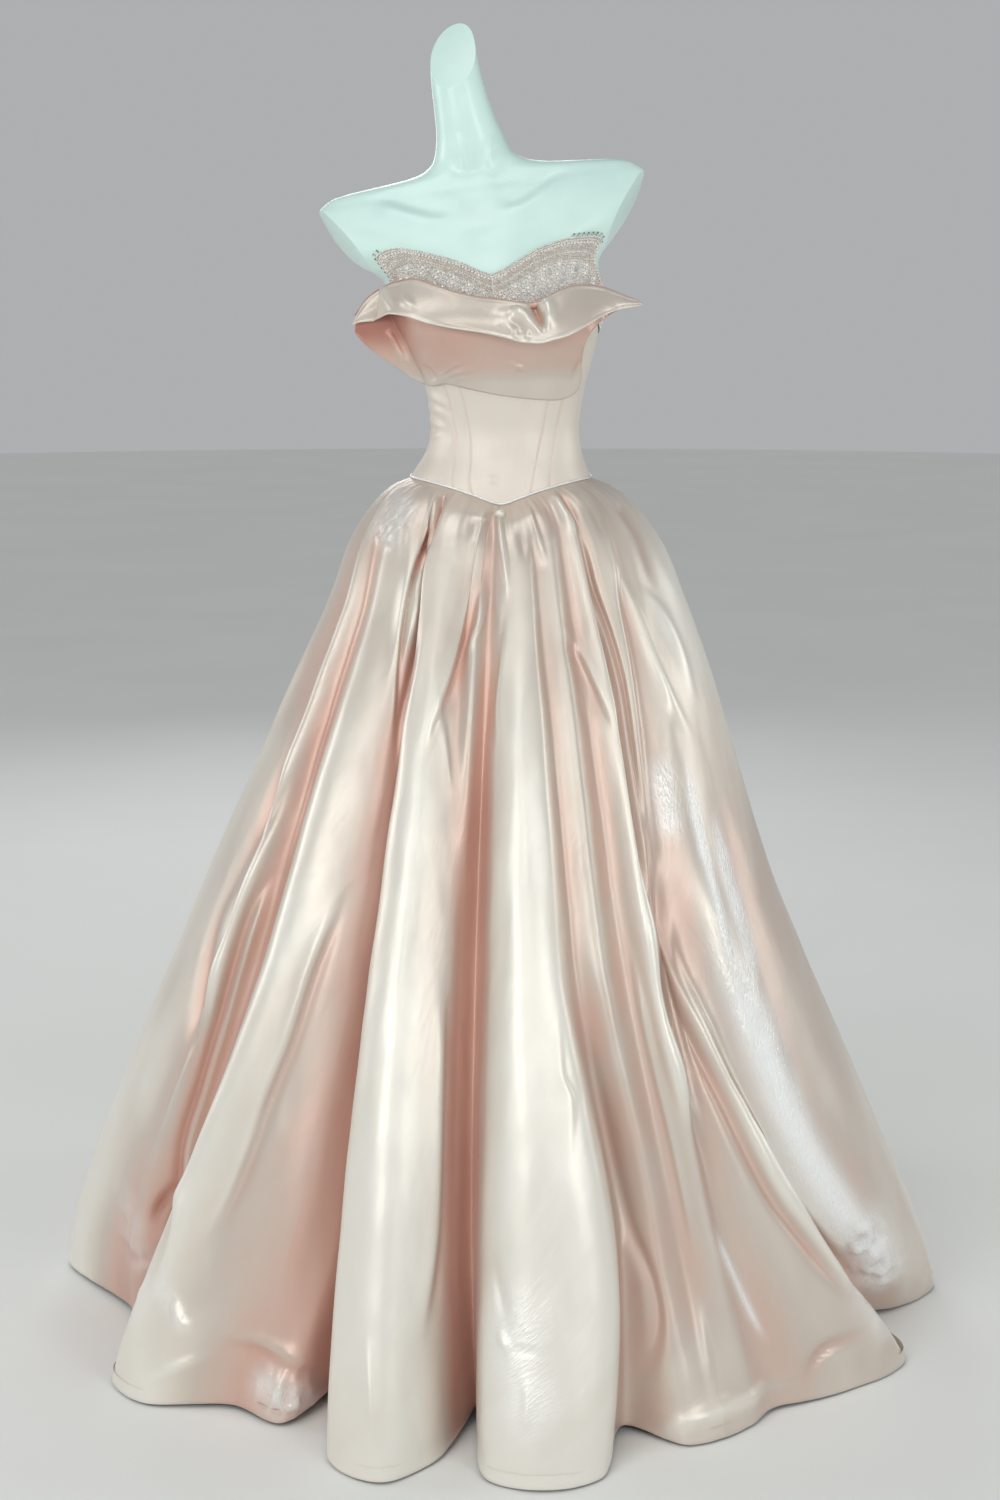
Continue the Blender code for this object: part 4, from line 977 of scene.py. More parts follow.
def cut_size(grid):
    """The flat width, length and area of a sheet, measured on the cloth."""
    width = lengths(grid, 1)[:, -1].max()
    length = lengths(grid, 0)[-1].max()
    edge_a = grid[1:, :-1] - grid[:-1, :-1]
    edge_b = grid[:-1, 1:] - grid[:-1, :-1]
    edge_c = grid[1:, 1:] - grid[:-1, :-1]
    halves = np.linalg.norm(np.cross(edge_a, edge_c), axis=-1)
    halves += np.linalg.norm(np.cross(edge_c, edge_b), axis=-1)
    return (float(width), float(length)), float(halves.sum() / 2)


def declare_cut(grid):
    flat, area = cut_size(grid)


def new_material(name):
    made = bpy.data.materials.new(name)
    made.use_nodes = True
    return made, made.node_tree, made.node_tree.nodes["Principled BSDF"]


def fill(tree, node, inputs):
    """Sets each input of a node to a value, or links it to another node's output."""
    for key, value in inputs.items():
        if isinstance(value, bpy.types.NodeSocket):
            tree.links.new(value, node.inputs[key])
        else:
            node.inputs[key].default_value = value


def add_node(tree, kind, inputs=None, **settings):
    node = tree.nodes.new(kind)
    for key, value in settings.items():
        setattr(node, key, value)
    fill(tree, node, inputs or {})
    return node


def add_math(tree, operation, first, second):
    node = add_node(tree, "ShaderNodeMath", {0: first, 1: second}, operation=operation)
    return node.outputs[0]


def add_mix(tree, share, first, second):
    inputs = {0: share, 6: first, 7: second}
    return add_node(tree, "ShaderNodeMix", inputs, data_type="RGBA").outputs[2]


def place_on(tree):
    """Where a point is on its piece, in metres."""
    return add_node(tree, "ShaderNodeTexCoord").outputs["Object"]


def stored(tree, name, output="Fac"):
    """A value that the piece stores at each of its points."""
    return add_node(tree, "ShaderNodeAttribute", attribute_name=name).outputs[output]


def stretched(tree, vector, scale):
    return add_node(tree, "ShaderNodeMapping", {"Vector": vector, "Scale": scale}).outputs["Vector"]


def add_noise(tree, vector, scale, detail):
    inputs = {"Vector": vector, "Scale": scale, "Detail": detail}
    return add_node(tree, "ShaderNodeTexNoise", inputs).outputs["Fac"]


def add_bump(tree, height, distance, strength=1.0, normal=None):
    inputs = {"Height": height, "Distance": distance, "Strength": strength}
    if normal is not None:
        inputs["Normal"] = normal
    return add_node(tree, "ShaderNodeBump", inputs).outputs["Normal"]


def add_ramp(tree, fac, stops):
    node = add_node(tree, "ShaderNodeValToRGB", {"Fac": fac})
    ramp = node.color_ramp
    while len(ramp.elements) < len(stops):
        ramp.elements.new(1.0)
    for element, (place, colour) in zip(ramp.elements, stops):
        element.position = place
        element.color = (*colour, 1.0)
    return node.outputs["Color"]


def add_range(tree, value, low, high):
    """Spreads the middle half of a value from 0 to 1 over low to high."""
    inputs = {"Value": value, "From Min": 0.25, "From Max": 0.75, "To Min": low, "To Max": high}
    return add_node(tree, "ShaderNodeMapRange", inputs).outputs["Result"]


def satin(name, tones, roughness, metallic):
    """Heavy satin, with painted highlight where it stands out and painted shade deep in its folds, a white
    painted highlight where it is foil-like, and fine threads down it.
    """
    made, tree, shader = new_material(name)
    place = stored(tree, "cloth", "Vector")
    foil_and_highlight = stored(tree, "foil_and_highlight")
    cloudy = add_noise(tree, stretched(tree, place, DRIFT_SCALE), 1.0, detail=2.0)
    drift = add_range(tree, cloudy, -TONE_DRIFT, TONE_DRIFT)
    # The stored tone: painted highlight towards its pale end and painted shade towards its deep end, with
    # a random drift
    depth = add_math(tree, "ADD", stored(tree, "fold"), drift)
    threads = add_noise(tree, stretched(tree, place, THREAD_SCALE), 1.0, detail=2.0)
    ripples = add_noise(tree, stretched(tree, place, RIPPLE_SCALE), 1.0, detail=4.0)
    foil_grain = add_noise(tree, stretched(tree, place, FOIL_SCALE), 1.0, detail=5.0)
    foil_height = add_math(tree, "MULTIPLY", foil_and_highlight, foil_grain)
    gloss = add_range(tree, threads, roughness - THREAD_GLOSS, roughness + THREAD_GLOSS)
    gloss = add_math(tree, "SUBTRACT", gloss, add_range(tree, foil_and_highlight, 0.0, FOIL_SHINE))
    normal = add_bump(tree, ripples, *RIPPLE_BUMP)
    normal = add_bump(tree, foil_height, *FOIL_BUMP, normal)
    fill(tree, shader, SATIN_SHEEN)
    fill(tree, shader, {"Roughness": roughness, "Metallic": metallic})
    looks = {
        # Mixed to white where foil-like: a painted highlight
        "Base Color": add_mix(tree, foil_and_highlight, add_ramp(tree, depth, tones), FOIL_HIGHLIGHT_COLOUR),
        "Roughness": gloss,
        "Metallic": add_range(tree, foil_and_highlight, metallic, FOIL_METALLIC),
        "Normal": add_bump(tree, threads, *THREAD_BUMP, normal),
    }
    fill(tree, shader, looks)
    return made


def plastic_shell(name):
    """The form's pale mint-white moulded shell: a satin gloss with a faint unevenness."""
    made, tree, shader = new_material(name)
    place = place_on(tree)
    cloudy = add_noise(tree, place, SHELL_CLOUDS, detail=3.0)
    grain = add_noise(tree, place, SHELL_GRAIN, detail=2.0)
    looks = {
        "Base Color": add_ramp(tree, cloudy, SHELL_TONES),
        "Roughness": add_range(tree, cloudy, *SHELL_ROUGHNESS),
        "Normal": add_bump(
            tree, grain, *SHELL_GRAIN_BUMP, add_bump(tree, cloudy, *SHELL_CLOUD_BUMP)
        ),
    }
    fill(tree, shader, looks | SHELL_COAT)
    return made


def grained(name, scale, detail, tones, roughness, bump, metallic=0.0):
    """A material whose tone, gloss and bump follow one stretched grain."""
    made, tree, shader = new_material(name)
    grain = add_noise(tree, stretched(tree, place_on(tree), scale), 1.0, detail=detail)
    looks = {
        "Base Color": add_ramp(tree, grain, tones),
        "Roughness": add_range(tree, grain, *roughness),
        "Normal": add_bump(tree, grain, *bump),
        "Metallic": metallic,
    }
    fill(tree, shader, looks)
    return made


def brushed_steel(name):
    return grained(name, STEEL_SCALE, 2.0, STEEL_TONES, STEEL_ROUGHNESS, STEEL_BUMP, 1.0)


def woven_tape(name):
    return grained(name, TAPE_SCALE, 1.0, TAPE_TONES, TAPE_ROUGHNESS, TAPE_BUMP)


def lace(name):
    """Blush satin under fine lace that is sewn all over with seed beads, but for a few plain patches."""
    made, tree, shader = new_material(name)
    place = stored(tree, "cloth", "Vector")
    motif = add_noise(tree, place, MOTIF_SCALE, detail=3.0)
    seeds = add_node(tree, "ShaderNodeTexVoronoi", {"Vector": place, "Scale": SEED_SCALE})
    tint = add_node(tree, "ShaderNodeSeparateColor", {"Color": seeds.outputs["Color"]})
    petals = add_node(
        tree,
        "ShaderNodeTexVoronoi",
        {"Vector": place, "Scale": PETAL_SCALE},
        feature="DISTANCE_TO_EDGE",
    )
    tone = add_ramp(tree, tint.outputs["Red"], LACE_TONES)
    tone = add_mix(tree, add_ramp(tree, motif, PLAIN_SHARES), tone, PLAIN_LACE)
    outline = add_ramp(tree, petals.outputs["Distance"], OUTLINE_SHARES)
    round_seeds = add_range(tree, seeds.outputs["Distance"], 1.0, 0.0)
    looks = {
        "Base Color": add_mix(tree, outline, tone, LACE_OUTLINE),
        "Roughness": add_range(tree, tint.outputs["Green"], *LACE_ROUGHNESS),
        "Normal": add_bump(tree, round_seeds, *SEED_BUMP, add_bump(tree, motif, *MOTIF_BUMP)),
    }
    fill(tree, shader, looks | LACE_SHEEN)
    return made


def bead_gloss(name, light, dark, metallic, roughness):
    """Beads that differ a little from one to the next."""
    made, tree, shader = new_material(name)
    cell = add_node(tree, "ShaderNodeTexVoronoi", {"Vector": place_on(tree), "Scale": BEAD_CELLS})
    tint = add_node(tree, "ShaderNodeSeparateColor", {"Color": cell.outputs["Color"]})
    looks = {
        "Base Color": add_ramp(tree, tint.outputs["Red"], ((0.0, dark), (1.0, light))),
        "Roughness": add_range(tree, tint.outputs["Green"], roughness, roughness + BEAD_ROUGHER),
        "Metallic": metallic,
        "Coat Weight": BEAD_COAT,
    }
    fill(tree, shader, looks)
    return made


def plain_floor(name):
    made, tree, shader = new_material(name)
    cloudy = add_noise(tree, place_on(tree), FLOOR_CLOUDS, detail=3.0)
    looks = {"Base Color": add_ramp(tree, cloudy, FLOOR_TONES), "Roughness": FLOOR_ROUGHNESS}
    fill(tree, shader, looks)
    return made


def skirt_drops():
    """The rows of the skirt, close together under the waist seam."""
    drops = [SKIRT_TOP]
    for last, count in SKIRT_ROWS:
        drops.extend(np.linspace(drops[-1], last, count)[1:])
    return np.array(drops)


def fold_lines(drops):
    """Where every fold line is at each drop: rows by folds by three."""
    lines = []
    for fold in FOLDS:
        row = dict(zip(FOLD_COLUMNS, fold))
        degs = [row[name] for name in ("waist", "high", "mid", "low", "hem")]
        outs = [MM * row[name] for name in ("out_high", "out_mid", "out_low", "out_hem")]
        start = outs[0] * FOLD_START_SHARE
        stands_out = curve(
            (SKIRT_LEVEL, FOLD_STARTS, *FOLD_DROPS[1:]), (0.0, start, *outs), drops
        )
        hem = HEM_LOW + HEM_RISE * max(-row["out_hem"] / DEEPEST_HEM_FOLD, 0.0)
        lines.append(smooth_skirt(curve(FOLD_DROPS, degs, drops), drops, stands_out, hem))
    return np.stack(lines, axis=1)


def gore_steps():
    """The number of columns after each fold line, and the column where each line is."""
    names = FOLD_TABLE["name"]
    steps = [0] * len(names)
    for _, first, last, count in GORES:
        at = names.index(first)
        while names[at] != last:
            steps[at] = count
            at = (at + 1) % len(names)
    starts = dict(zip(names, np.cumsum([0, *steps[:-1]]).tolist()))
    return steps, starts


def skirt_ring():
    """The whole skirt as one ring of columns, with its drops, the angle of each point and the column where
    each fold line is.
    """
    drops = skirt_drops()
    lines = fold_lines(drops)
    steps, starts = gore_steps()
    count = lines.shape[1]
    parts = []
    for i in range(count):
        around = [lines[:, (i + step) % count] for step in (-1, 0, 1, 2)]
        parts.append(between(*around, np.arange(steps[i]) / steps[i]))
    grid = np.concatenate(parts, axis=1)
    degs = np.degrees(np.arctan2(grid[..., 0], -grid[..., 1]))
    level = drops <= SKIRT_LEVEL
    grid[level] = smooth_skirt(degs[level], drops[level][:, None])
    return drops, grid, degs, starts


def add_camera():
    data = bpy.data.cameras.new("camera")
    data.lens = CAMERA_LENS_MM
    camera = bpy.data.objects.new("camera", data)
    camera.location = CAMERA_AT
    camera.rotation_euler = (math.radians(90.0 - CAMERA_DOWN_DEG), 0.0, 0.0)
    bpy.context.scene.collection.objects.link(camera)
    bpy.context.scene.camera = camera


def add_light(kind, name, place, target, size, power):
    """A disc light of a size in metres, or a sun of a size in degrees, that points at a target."""
    data = bpy.data.lights.new(name, kind)
    data.energy = power
    data.color = LIGHT_COLOUR
    if kind == "SUN":
        data.angle = math.radians(size)
    else:
        data.shape = "DISK"
        data.size = size
    light = bpy.data.objects.new(name, data)
    light.location = place
    aim = np.array(target) - np.array(place)
    yaw = math.atan2(aim[0], -aim[1])
    tilt = math.acos(-aim[2] / np.linalg.norm(aim))
    light.rotation_euler = (-tilt, 0.0, yaw)
    bpy.context.scene.collection.objects.link(light)


def add_lights():
    for kind, name, place, aim_height, size, power in LIGHTS:
        add_light(kind, name, place, (0.0, 0.0, aim_height), size, power)
    world = bpy.data.worlds.new("studio")
    world.use_nodes = True
    tree = world.node_tree
    spot = add_node(tree, "ShaderNodeTexCoord").outputs["Generated"]
    height = add_node(tree, "ShaderNodeSeparateXYZ", {"Vector": spot}).outputs["Z"]
    fill(tree, tree.nodes["Background"], {"Color": add_ramp(tree, height, STUDIO_TONES)})
    bpy.context.scene.world = world
    bpy.context.scene.view_settings.view_transform = "Standard"


def add_floor():
    turns = [2 * math.pi * side / FLOOR_SIDES for side in range(FLOOR_SIDES)]
    points = [
        (FLOOR_RADIUS * math.cos(turn), FLOOR_RADIUS * math.sin(turn), 0.0) for turn in turns
    ]
    mesh = bpy.data.meshes.new("floor")
    mesh.from_pydata(points, [], [list(range(FLOOR_SIDES))])
    mesh.materials.append(plain_floor("floor"))
    floor = bpy.data.objects.new("floor", mesh)
    bpy.context.scene.collection.objects.link(floor)


def hem_rows(low, normals):
    """Rows that turn the hem under and up inside, from the lowest row and its normals."""
    out = unit(normals * np.array([1.0, 1.0, 0.0]))
    up = np.array([0.0, 0.0, 1.0])
    return np.stack([low - out * inward * MM + up * rise * MM for inward, rise in HEM_ROWS])


def skirt_relief(drops, grid, degs, normals):
    """What raises each point of the skirt: marks, crumples, gathers and all; and its foil and painted
    highlight.
    """
    shows = normals[..., 1] < -FRONT_FROM
    faces_front = smooth_step(FRONT_FROM, FRONT_FULL, -normals[..., 1])
    marks = pressed(grid[..., 0], grid[..., 2], shows, SKIRT_MARKS) * faces_front
    crumples, foil_and_highlight = crumpled(grid, shows)
    crumples, foil_and_highlight = crumples * faces_front, foil_and_highlight * faces_front
    down = drops[:, None]
    place = np.stack([degs, GATHER_DEG_PER_METRE * down + 0 * degs, 0 * degs], -1)
    gathers = GATHER_RISE * noise(place, GATHER_DEG, GATHER_SEED)
    gathers = gathers * np.exp(-((down / GATHER_DROP) ** 2))
    soft = sum(rise * noise(grid, size, seed) for rise, size, seed in SKIRT_SWELLS)
    stitched = -STITCH_SINK * np.exp(-(((SKIRT_LENGTH - STITCH_UP - down) / STITCH_WIDE) ** 2))
    rise = (marks + crumples + soft) * smooth_step(SKIRT_TOP, MARKS_FULL_DROP, down)
    rise = rise + gathers * smooth_step(SKIRT_TOP, GATHERS_FULL_DROP, down)
    return rise + stitched, marks + gathers + crumples, foil_and_highlight, faces_front


def skirt_tone(drops, grid, degs, finished, marks, faces_front):
    """How deep the tone is at each point: painted shade by its depth in the folds and on its lobe, and
    painted highlight or shade by its marks; the painted shade is lighter on the wearer's left.
    """
    stands_out = np.hypot(grid[..., 0], grid[..., 1]) - smooth_radius(degs, drops[:, None])
    depth = curve(*zip(*FOLD_DEPTHS), drops)[:, None]
    tint = curve(*zip(*FOLD_TINTS), drops)[:, None]
    to_left = smooth_step(LEFT_FROM, LEFT_FULL, grid[..., 0])
    deepest = DEEPEST_TONE - LEFT_FOLDS_LESS_SHADE * to_left
    tone = np.minimum(LEVEL_TONE - tint * stands_out / depth, deepest)
    lobe = smooth_step(*LOBE_ACROSS, finished[..., 0]) * smooth_step(*LOBE_HEIGHT, finished[..., 2])
    tone = np.maximum(tone, LOBE_PAINTED_SHADE * lobe * faces_front)
    return np.clip(tone - MARK_PAINTED_LIGHT * marks, 0.0, 1.0 - LEFT_MARKS_LESS_SHADE * to_left)


def make_skirt(look, trims):
    drops, grid, degs, starts = skirt_ring()
    normals = facing(grid, wraps=True)
    rise, marks, foil_and_highlight, faces_front = skirt_relief(drops, grid, degs, normals)
    finished = grid + normals * (SATIN / 2 + rise)[..., None]
    tone = skirt_tone(drops, grid, degs, finished, marks, faces_front)
    turned = hem_rows(finished[-1], normals[-1])
    finished = np.concatenate([finished, turned])
    tone, foil_and_highlight = (np.concatenate([v, np.repeat(v[-1:], len(turned), axis=0)]) for v in (tone, foil_and_highlight))
    across = finished.shape[1]
    for name, first, last, _ in GORES:
        start, end = starts[first], starts[last]
        if end <= start:
            end += across
        wanted = np.arange(start, end + 1) % across
        gore = finished[:, wanted]
        piece = add_cloth("cloth_" + name, gore, look, tone[:, wanted], foil_and_highlight[:, wanted])
        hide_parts(name)
        declare_cut(gore)


def bodice_panels():
    """Name, angle of each edge as a function of the share of height, and the number of columns."""

    def at(seam, sign):
        return lambda share: sign * seam_deg(seam, share)

    def back(sign):
        return lambda share: sign * (180.0 - ZIP_GAP_DEG) + 0.0 * share

    return (
        ("bodice_centre_front", at(PRINCESS_SEAM, -1), at(PRINCESS_SEAM, 1), 90),
        ("bodice_side_front_left", at(PRINCESS_SEAM, 1), at(SIDE_FRONT_SEAM, 1), 36),
        ("bodice_side_left", at(SIDE_FRONT_SEAM, 1), at(SIDE_BACK_SEAM, 1), 60),
        ("bodice_back_left", at(SIDE_BACK_SEAM, 1), back(1), 60),
        ("bodice_back_right", back(-1), at(SIDE_BACK_SEAM, -1), 60),
        ("bodice_side_right", at(SIDE_BACK_SEAM, -1), at(SIDE_FRONT_SEAM, -1), 60),
        ("bodice_side_front_right", at(SIDE_FRONT_SEAM, -1), at(PRINCESS_SEAM, -1), 36),
    )


def turned_rows(turn_share, low_share, count, out, thick):
    """Rows of a wall with its top edge turned in: shares of the height, and how far out they are."""
    shares = np.concatenate([[turn_share, 1.0], np.linspace(1.0, low_share, count)])
    outs = np.concatenate([[out] * 2, [out + thick] * count])
    return shares[:, None], outs[:, None]


def make_bodice(look):
    shares, outs = turned_rows(BODICE_TURN_SHARE, 0.0, BODICE_FINE_ROWS, EASE, SATIN)
    for name, first, last, count in bodice_panels():
        across = np.linspace(0.0, 1.0, count + 1)[None, :]
        degs = first(shares) + (last(shares) - first(shares)) * across
        along = lengths(bodice_point(shares, degs, outs), 1)
        near_seam = np.exp(-((np.minimum(along, along[:, -1:] - along) / SEAM_SOFT) ** 2))
        grid = bodice_point(shares, degs, outs - np.where(outs > EASE, SEAM_SINK * near_seam, 0.0))
        normals = facing(grid)
        shows = (normals[..., 1] < -FRONT_FROM) & (outs > EASE)
        raised = pressed(grid[..., 0], grid[..., 2], shows, BODICE_MARKS)
        raised = raised * smooth_step(0.0, BODICE_MARKS_FROM, shares)
        grid = grid + normals * raised[..., None]
        tone = BODICE_TONE + SEAM_TONE * near_seam
        piece = add_cloth("cloth_" + name, grid, look, tone)
        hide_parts(name)
        declare_cut(grid)


def front_depth(x, z, out):
    """How far forward the form's front lies at x, out from it; held level past its sides."""

    def lean(height):
        return SHOULDER_SLOPE * smooth_step(LEAN_STARTS, LEAN_FULL, height)

    height = z - lean(z - lean(z) * x) * x
    centre = curve(FORM_TABLE["height"], FORM_TABLE["centre_x"], height)
    reach = (curve(FORM_TABLE["height"], FORM_TABLE["side"], height) + out) * WIDEST_SHARE
    away = np.clip(x - centre, -reach, reach)
    low, high = np.zeros(x.shape), np.full(x.shape, SIDE_DEG)
    for _ in range(DEPTH_HALVINGS):
        middle = (low + high) / 2
        point = form_point(height, np.copysign(middle, away), out)
        short = np.abs(point[..., 0] - centre) < np.abs(away)
        low, high = np.where(short, middle, low), np.where(short, high, middle)
    return form_point(height, np.copysign(low, away), out)[..., 1]


def drape_grid():
    """The drape's surface: rows from its lower edge over the fold to the free edge."""
    last = len(DRAPE_STATIONS) - 1
    stations = np.linspace(0.0, last, last * DRAPE_STEPS + 1)
    row = {name: curve(range(last + 1), DRAPE_TABLE[name], stations) for name in DRAPE_COLUMNS}
    size = np.minimum(FOLD_GAP / 2, (row["crest_z"] - row["edge_z"]) / 3)
    top_share = 1 - size / (row["crest_z"] - row["low_z"])
    t = np.linspace(0.0, 1.0, PANEL_ROWS)[:, None] * top_share
    x = row["low_x"] + (row["crest_x"] - row["low_x"]) * t ** row["flare"]
    z = row["low_z"] + (row["crest_z"] - row["low_z"]) * t
    out = MM * (row["low_off"] + (row["crest_off"] - row["low_off"]) * t)
    panel = np.stack([x, front_depth(x, z, out), z], axis=-1)
    turn = np.radians(np.linspace(0.0, 180.0, TURN_ROWS + 2)[1:-1])[:, None]
    rise = size * np.sin(turn)
    turned = panel[-1] + np.stack([0 * rise, -size * (1 - np.cos(turn)), rise], axis=-1)
    top = panel[-1] - np.stack([0 * size, 2 * size, 0 * size], axis=-1)
    edge_y = front_depth(row["edge_x"], row["edge_z"], MM * row["edge_off"])
    edge = np.stack([row["edge_x"], np.minimum(edge_y, top[..., 1] - size), row["edge_z"]], axis=-1)
    t = np.linspace(0.0, 1.0, FLAP_ROWS)[:, None, None]
    belly = np.array([0.0, -FLAP_BELLY, 0.0]) * np.sin(math.pi * t)
    flap = top + (edge - top) * t + belly
    return np.concatenate([panel, turned, flap])


def thicken(piece, thickness):
    """Gives a sheet its real thickness, on both sides of where it was."""
    modifier = piece.modifiers.new("thickness", "SOLIDIFY")
    modifier.thickness = thickness
    modifier.offset = 0.0
    graph = bpy.context.evaluated_depsgraph_get()
    solid = bpy.data.meshes.new_from_object(piece.evaluated_get(graph))
    piece.modifiers.clear()
    piece.data = solid


def drape_tone(x, z, on_flap, edge, rise):
    """How deep the tone is at each point of the drape, with its painted highlights and painted shade."""
    blush = FLAP_BLUSH * np.exp(-(((x - FLAP_BLUSH_X) / FLAP_BLUSH_WIDE) ** 2))
    flap = FLAP_TONE + blush - FLAP_EDGE_HIGHLIGHT * edge
    inside = smooth_step(*LOOP_ACROSS, x) * smooth_step(*LOOP_HEIGHT, z)
    panel = PANEL_TONE - PANEL_HEM_HIGHLIGHT * smooth_step(*PANEL_HEM_HEIGHT, z)
    panel = panel + UNDER_FOLD_SHADE * smooth_step(*UNDER_FOLD_HEIGHT, z) + LOOP_SHADE * inside
    return np.clip(np.where(on_flap, flap, panel) - DRAPE_MARK_PAINTED_LIGHT * rise, 0.0, 1.0)


def make_drape(look):
    grid = drape_grid()[:, ::-1]
    row = np.arange(len(grid))[:, None]
    near_tip = smooth_step(*TIP_ACROSS, grid[..., 0]) * smooth_step(0.0, TIP_ROWS, row)
    for _ in range(TIP_SMOOTHING):
        even = (grid[:, :-2] + grid[:, 2:]) / 2
        grid[:, 1:-1] += TIP_STEP * near_tip[:, 1:-1, None] * (even - grid[:, 1:-1])
    normals = facing(grid)
    forward = normals * np.sign(-normals[..., 1:2])
    x, z = grid[..., 0], grid[..., 2]
    on_flap = row + 0 * x >= PANEL_ROWS + TURN_ROWS - 2
    on_panel = row + 0 * x < PANEL_ROWS
    rise = pressed(x, z, on_flap, DRAPE_FLAP_MARKS) + pressed(x, z, on_panel, DRAPE_PANEL_MARKS)
    edge = np.exp(-(((len(grid) - 2 - row) / EDGE_ROLL_ROWS) ** 2)) + 0 * x
    rise = rise * smooth_step(0.0, MARKS_FULL_ROW, row) + EDGE_ROLL * edge
    swell, size, seed = DRAPE_SWELL
    soft = swell * noise(grid, size, seed) * smooth_step(0.0, SWELL_FULL_ROW, row)
    tone = drape_tone(x, z, on_flap, edge, rise)
    grid = grid + forward * (rise + soft)[..., None]
    piece = add_cloth("cloth_bust_drape", grid, look, tone)
    thicken(piece, SATIN)
    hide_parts("bust_drape")
    declare_cut(grid)


def make_band(look, beads):
    shares, outs = turned_rows(LACE_TURN_SHARE, LACE_FROM, LACE_FINE_ROWS, LACE_OUT, LACE)
    degs = np.linspace(-180.0 + ZIP_GAP_DEG, 180.0 - ZIP_GAP_DEG, LACE_DEGS)[None, :]
    grid = bodice_point(shares, degs, outs)
    piece = add_cloth("lace_band", grid, look)
    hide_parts("beaded_band")
    declare_cut(grid)


def bead_shape():
    """A small ball of few sides."""
    turns = 2 * math.pi * np.arange(BEAD_SIDES) / BEAD_SIDES
    points = [(0.0, 0.0, 1.0)]
    for ring in range(1, BEAD_RINGS):
        tilt = math.pi * ring / BEAD_RINGS
        for turn in turns:
            points.append(
                (math.sin(tilt) * math.cos(turn), math.sin(tilt) * math.sin(turn), math.cos(tilt))
            )
    points.append((0.0, 0.0, -1.0))
    last = len(points) - 1
    faces = []
    for side in range(BEAD_SIDES):
        after = (side + 1) % BEAD_SIDES
        faces.append((0, 1 + side, 1 + after))
        for ring in range(BEAD_RINGS - 2):
            top, low = 1 + ring * BEAD_SIDES, 1 + (ring + 1) * BEAD_SIDES
            faces.append((top + side, low + side, low + after, top + after))
        faces.append((last, last - BEAD_SIDES + after, last - BEAD_SIDES + side))
    return np.array(points), faces


def add_copies(name, shape, faces, centres, sizes, look):
    """Copies of one small shape in one mesh, each of its own size."""
    points = centres[:, None, :] + np.reshape(sizes, (len(centres), 1, -1)) * shape[None]
    all_faces = [
        tuple(corner + copy * len(shape) for corner in face)
        for copy in range(len(centres))
        for face in faces
    ]
    return add_mesh(name, points, all_faces, look)


def on_lace(deg, down, out=0.0):
    """A point on the lace, so far below its top edge."""
    deg = np.asarray(deg, float)
    return form_point(neckline(deg) - down, deg, LACE_OUT + LACE + out)


def even_degs(down, spacing, first, last):
    """Angles of points at an even spacing along the lace."""
    fine = np.linspace(first, last, BEAD_PATH_POINTS)
    steps = lengths(on_lace(fine, down), 0)
    return np.interp(np.arange(0.0, steps[-1], spacing), steps, fine)


def bead_places():
    """Centres and radii of the beads, by kind: rows, rosettes, columns and scattered seeds."""
    found = {kind: [] for kind in ("silver", "pearl", "taupe", "dark")}

    def put(kind, centres, radius):
        found[kind] += [(*centre, radius) for centre in np.reshape(centres, (-1, 3))]

    for values in BEAD_ROWS:
        row = dict(zip(ROW_COLUMNS, values))
        down, radius = MM * row["down"], MM * row["radius"]
        degs = even_degs(down, MM * row["spacing"], row["first"], row["last"])
        put(row["kind"], on_lace(degs, down, 0.5 * radius), radius)
    for deg in BEAD_COLUMNS:
        downs = np.arange(COLUMN_TOP, COLUMN_DEPTH, COLUMN_SPACING)
        put("pearl", on_lace(np.full(len(downs), deg), downs, COLUMN_OUT), COLUMN_RADIUS)
    for first, last in STANDING_BEADS:
        degs = even_degs(0.0, STANDING_SPACING, first, last)
        for down, radius in STANDING_ROWS:
            put("dark", on_lace(degs, down), radius)
    turns = 2 * math.pi * np.arange(PETALS) / PETALS
    for line, down in enumerate(ROSETTE_DOWNS):
        starts = -ROSETTE_ENDS_DEG + ROSETTE_SHIFT_DEG * (line % 2)
        for deg in even_degs(down, ROSETTE_SPACING, starts, ROSETTE_ENDS_DEG):
            put("pearl", on_lace(deg, down, ROSETTE_OUT), ROSETTE_RADIUS)
            for reach, radius, kind in PETAL_RINGS:
                across = np.degrees(reach * np.cos(turns) / CHEST_RADIUS)
                downs = down + reach * np.sin(turns)
                put(kind, on_lace(deg + across, downs, PETAL_OUT), radius)
    rng = np.random.default_rng(SCATTER_SEED)
    degs = rng.uniform(-SCATTER_DEG, SCATTER_DEG, SCATTERED_SEEDS)
    downs = rng.uniform(*SCATTER_DOWN, SCATTERED_SEEDS)
    put("silver", on_lace(degs, downs, SCATTER_OUT), SCATTER_RADIUS)
    return {kind: np.array(rows) for kind, rows in found.items()}


def make_beads(looks):
    shape, faces = bead_shape()
    made = []
    for kind, rows in bead_places().items():
        name = kind + "_beads"
        made.append(
            add_copies(name, shape, faces, rows[:, :3], rows[:, 3], looks[kind])
        )
    return made


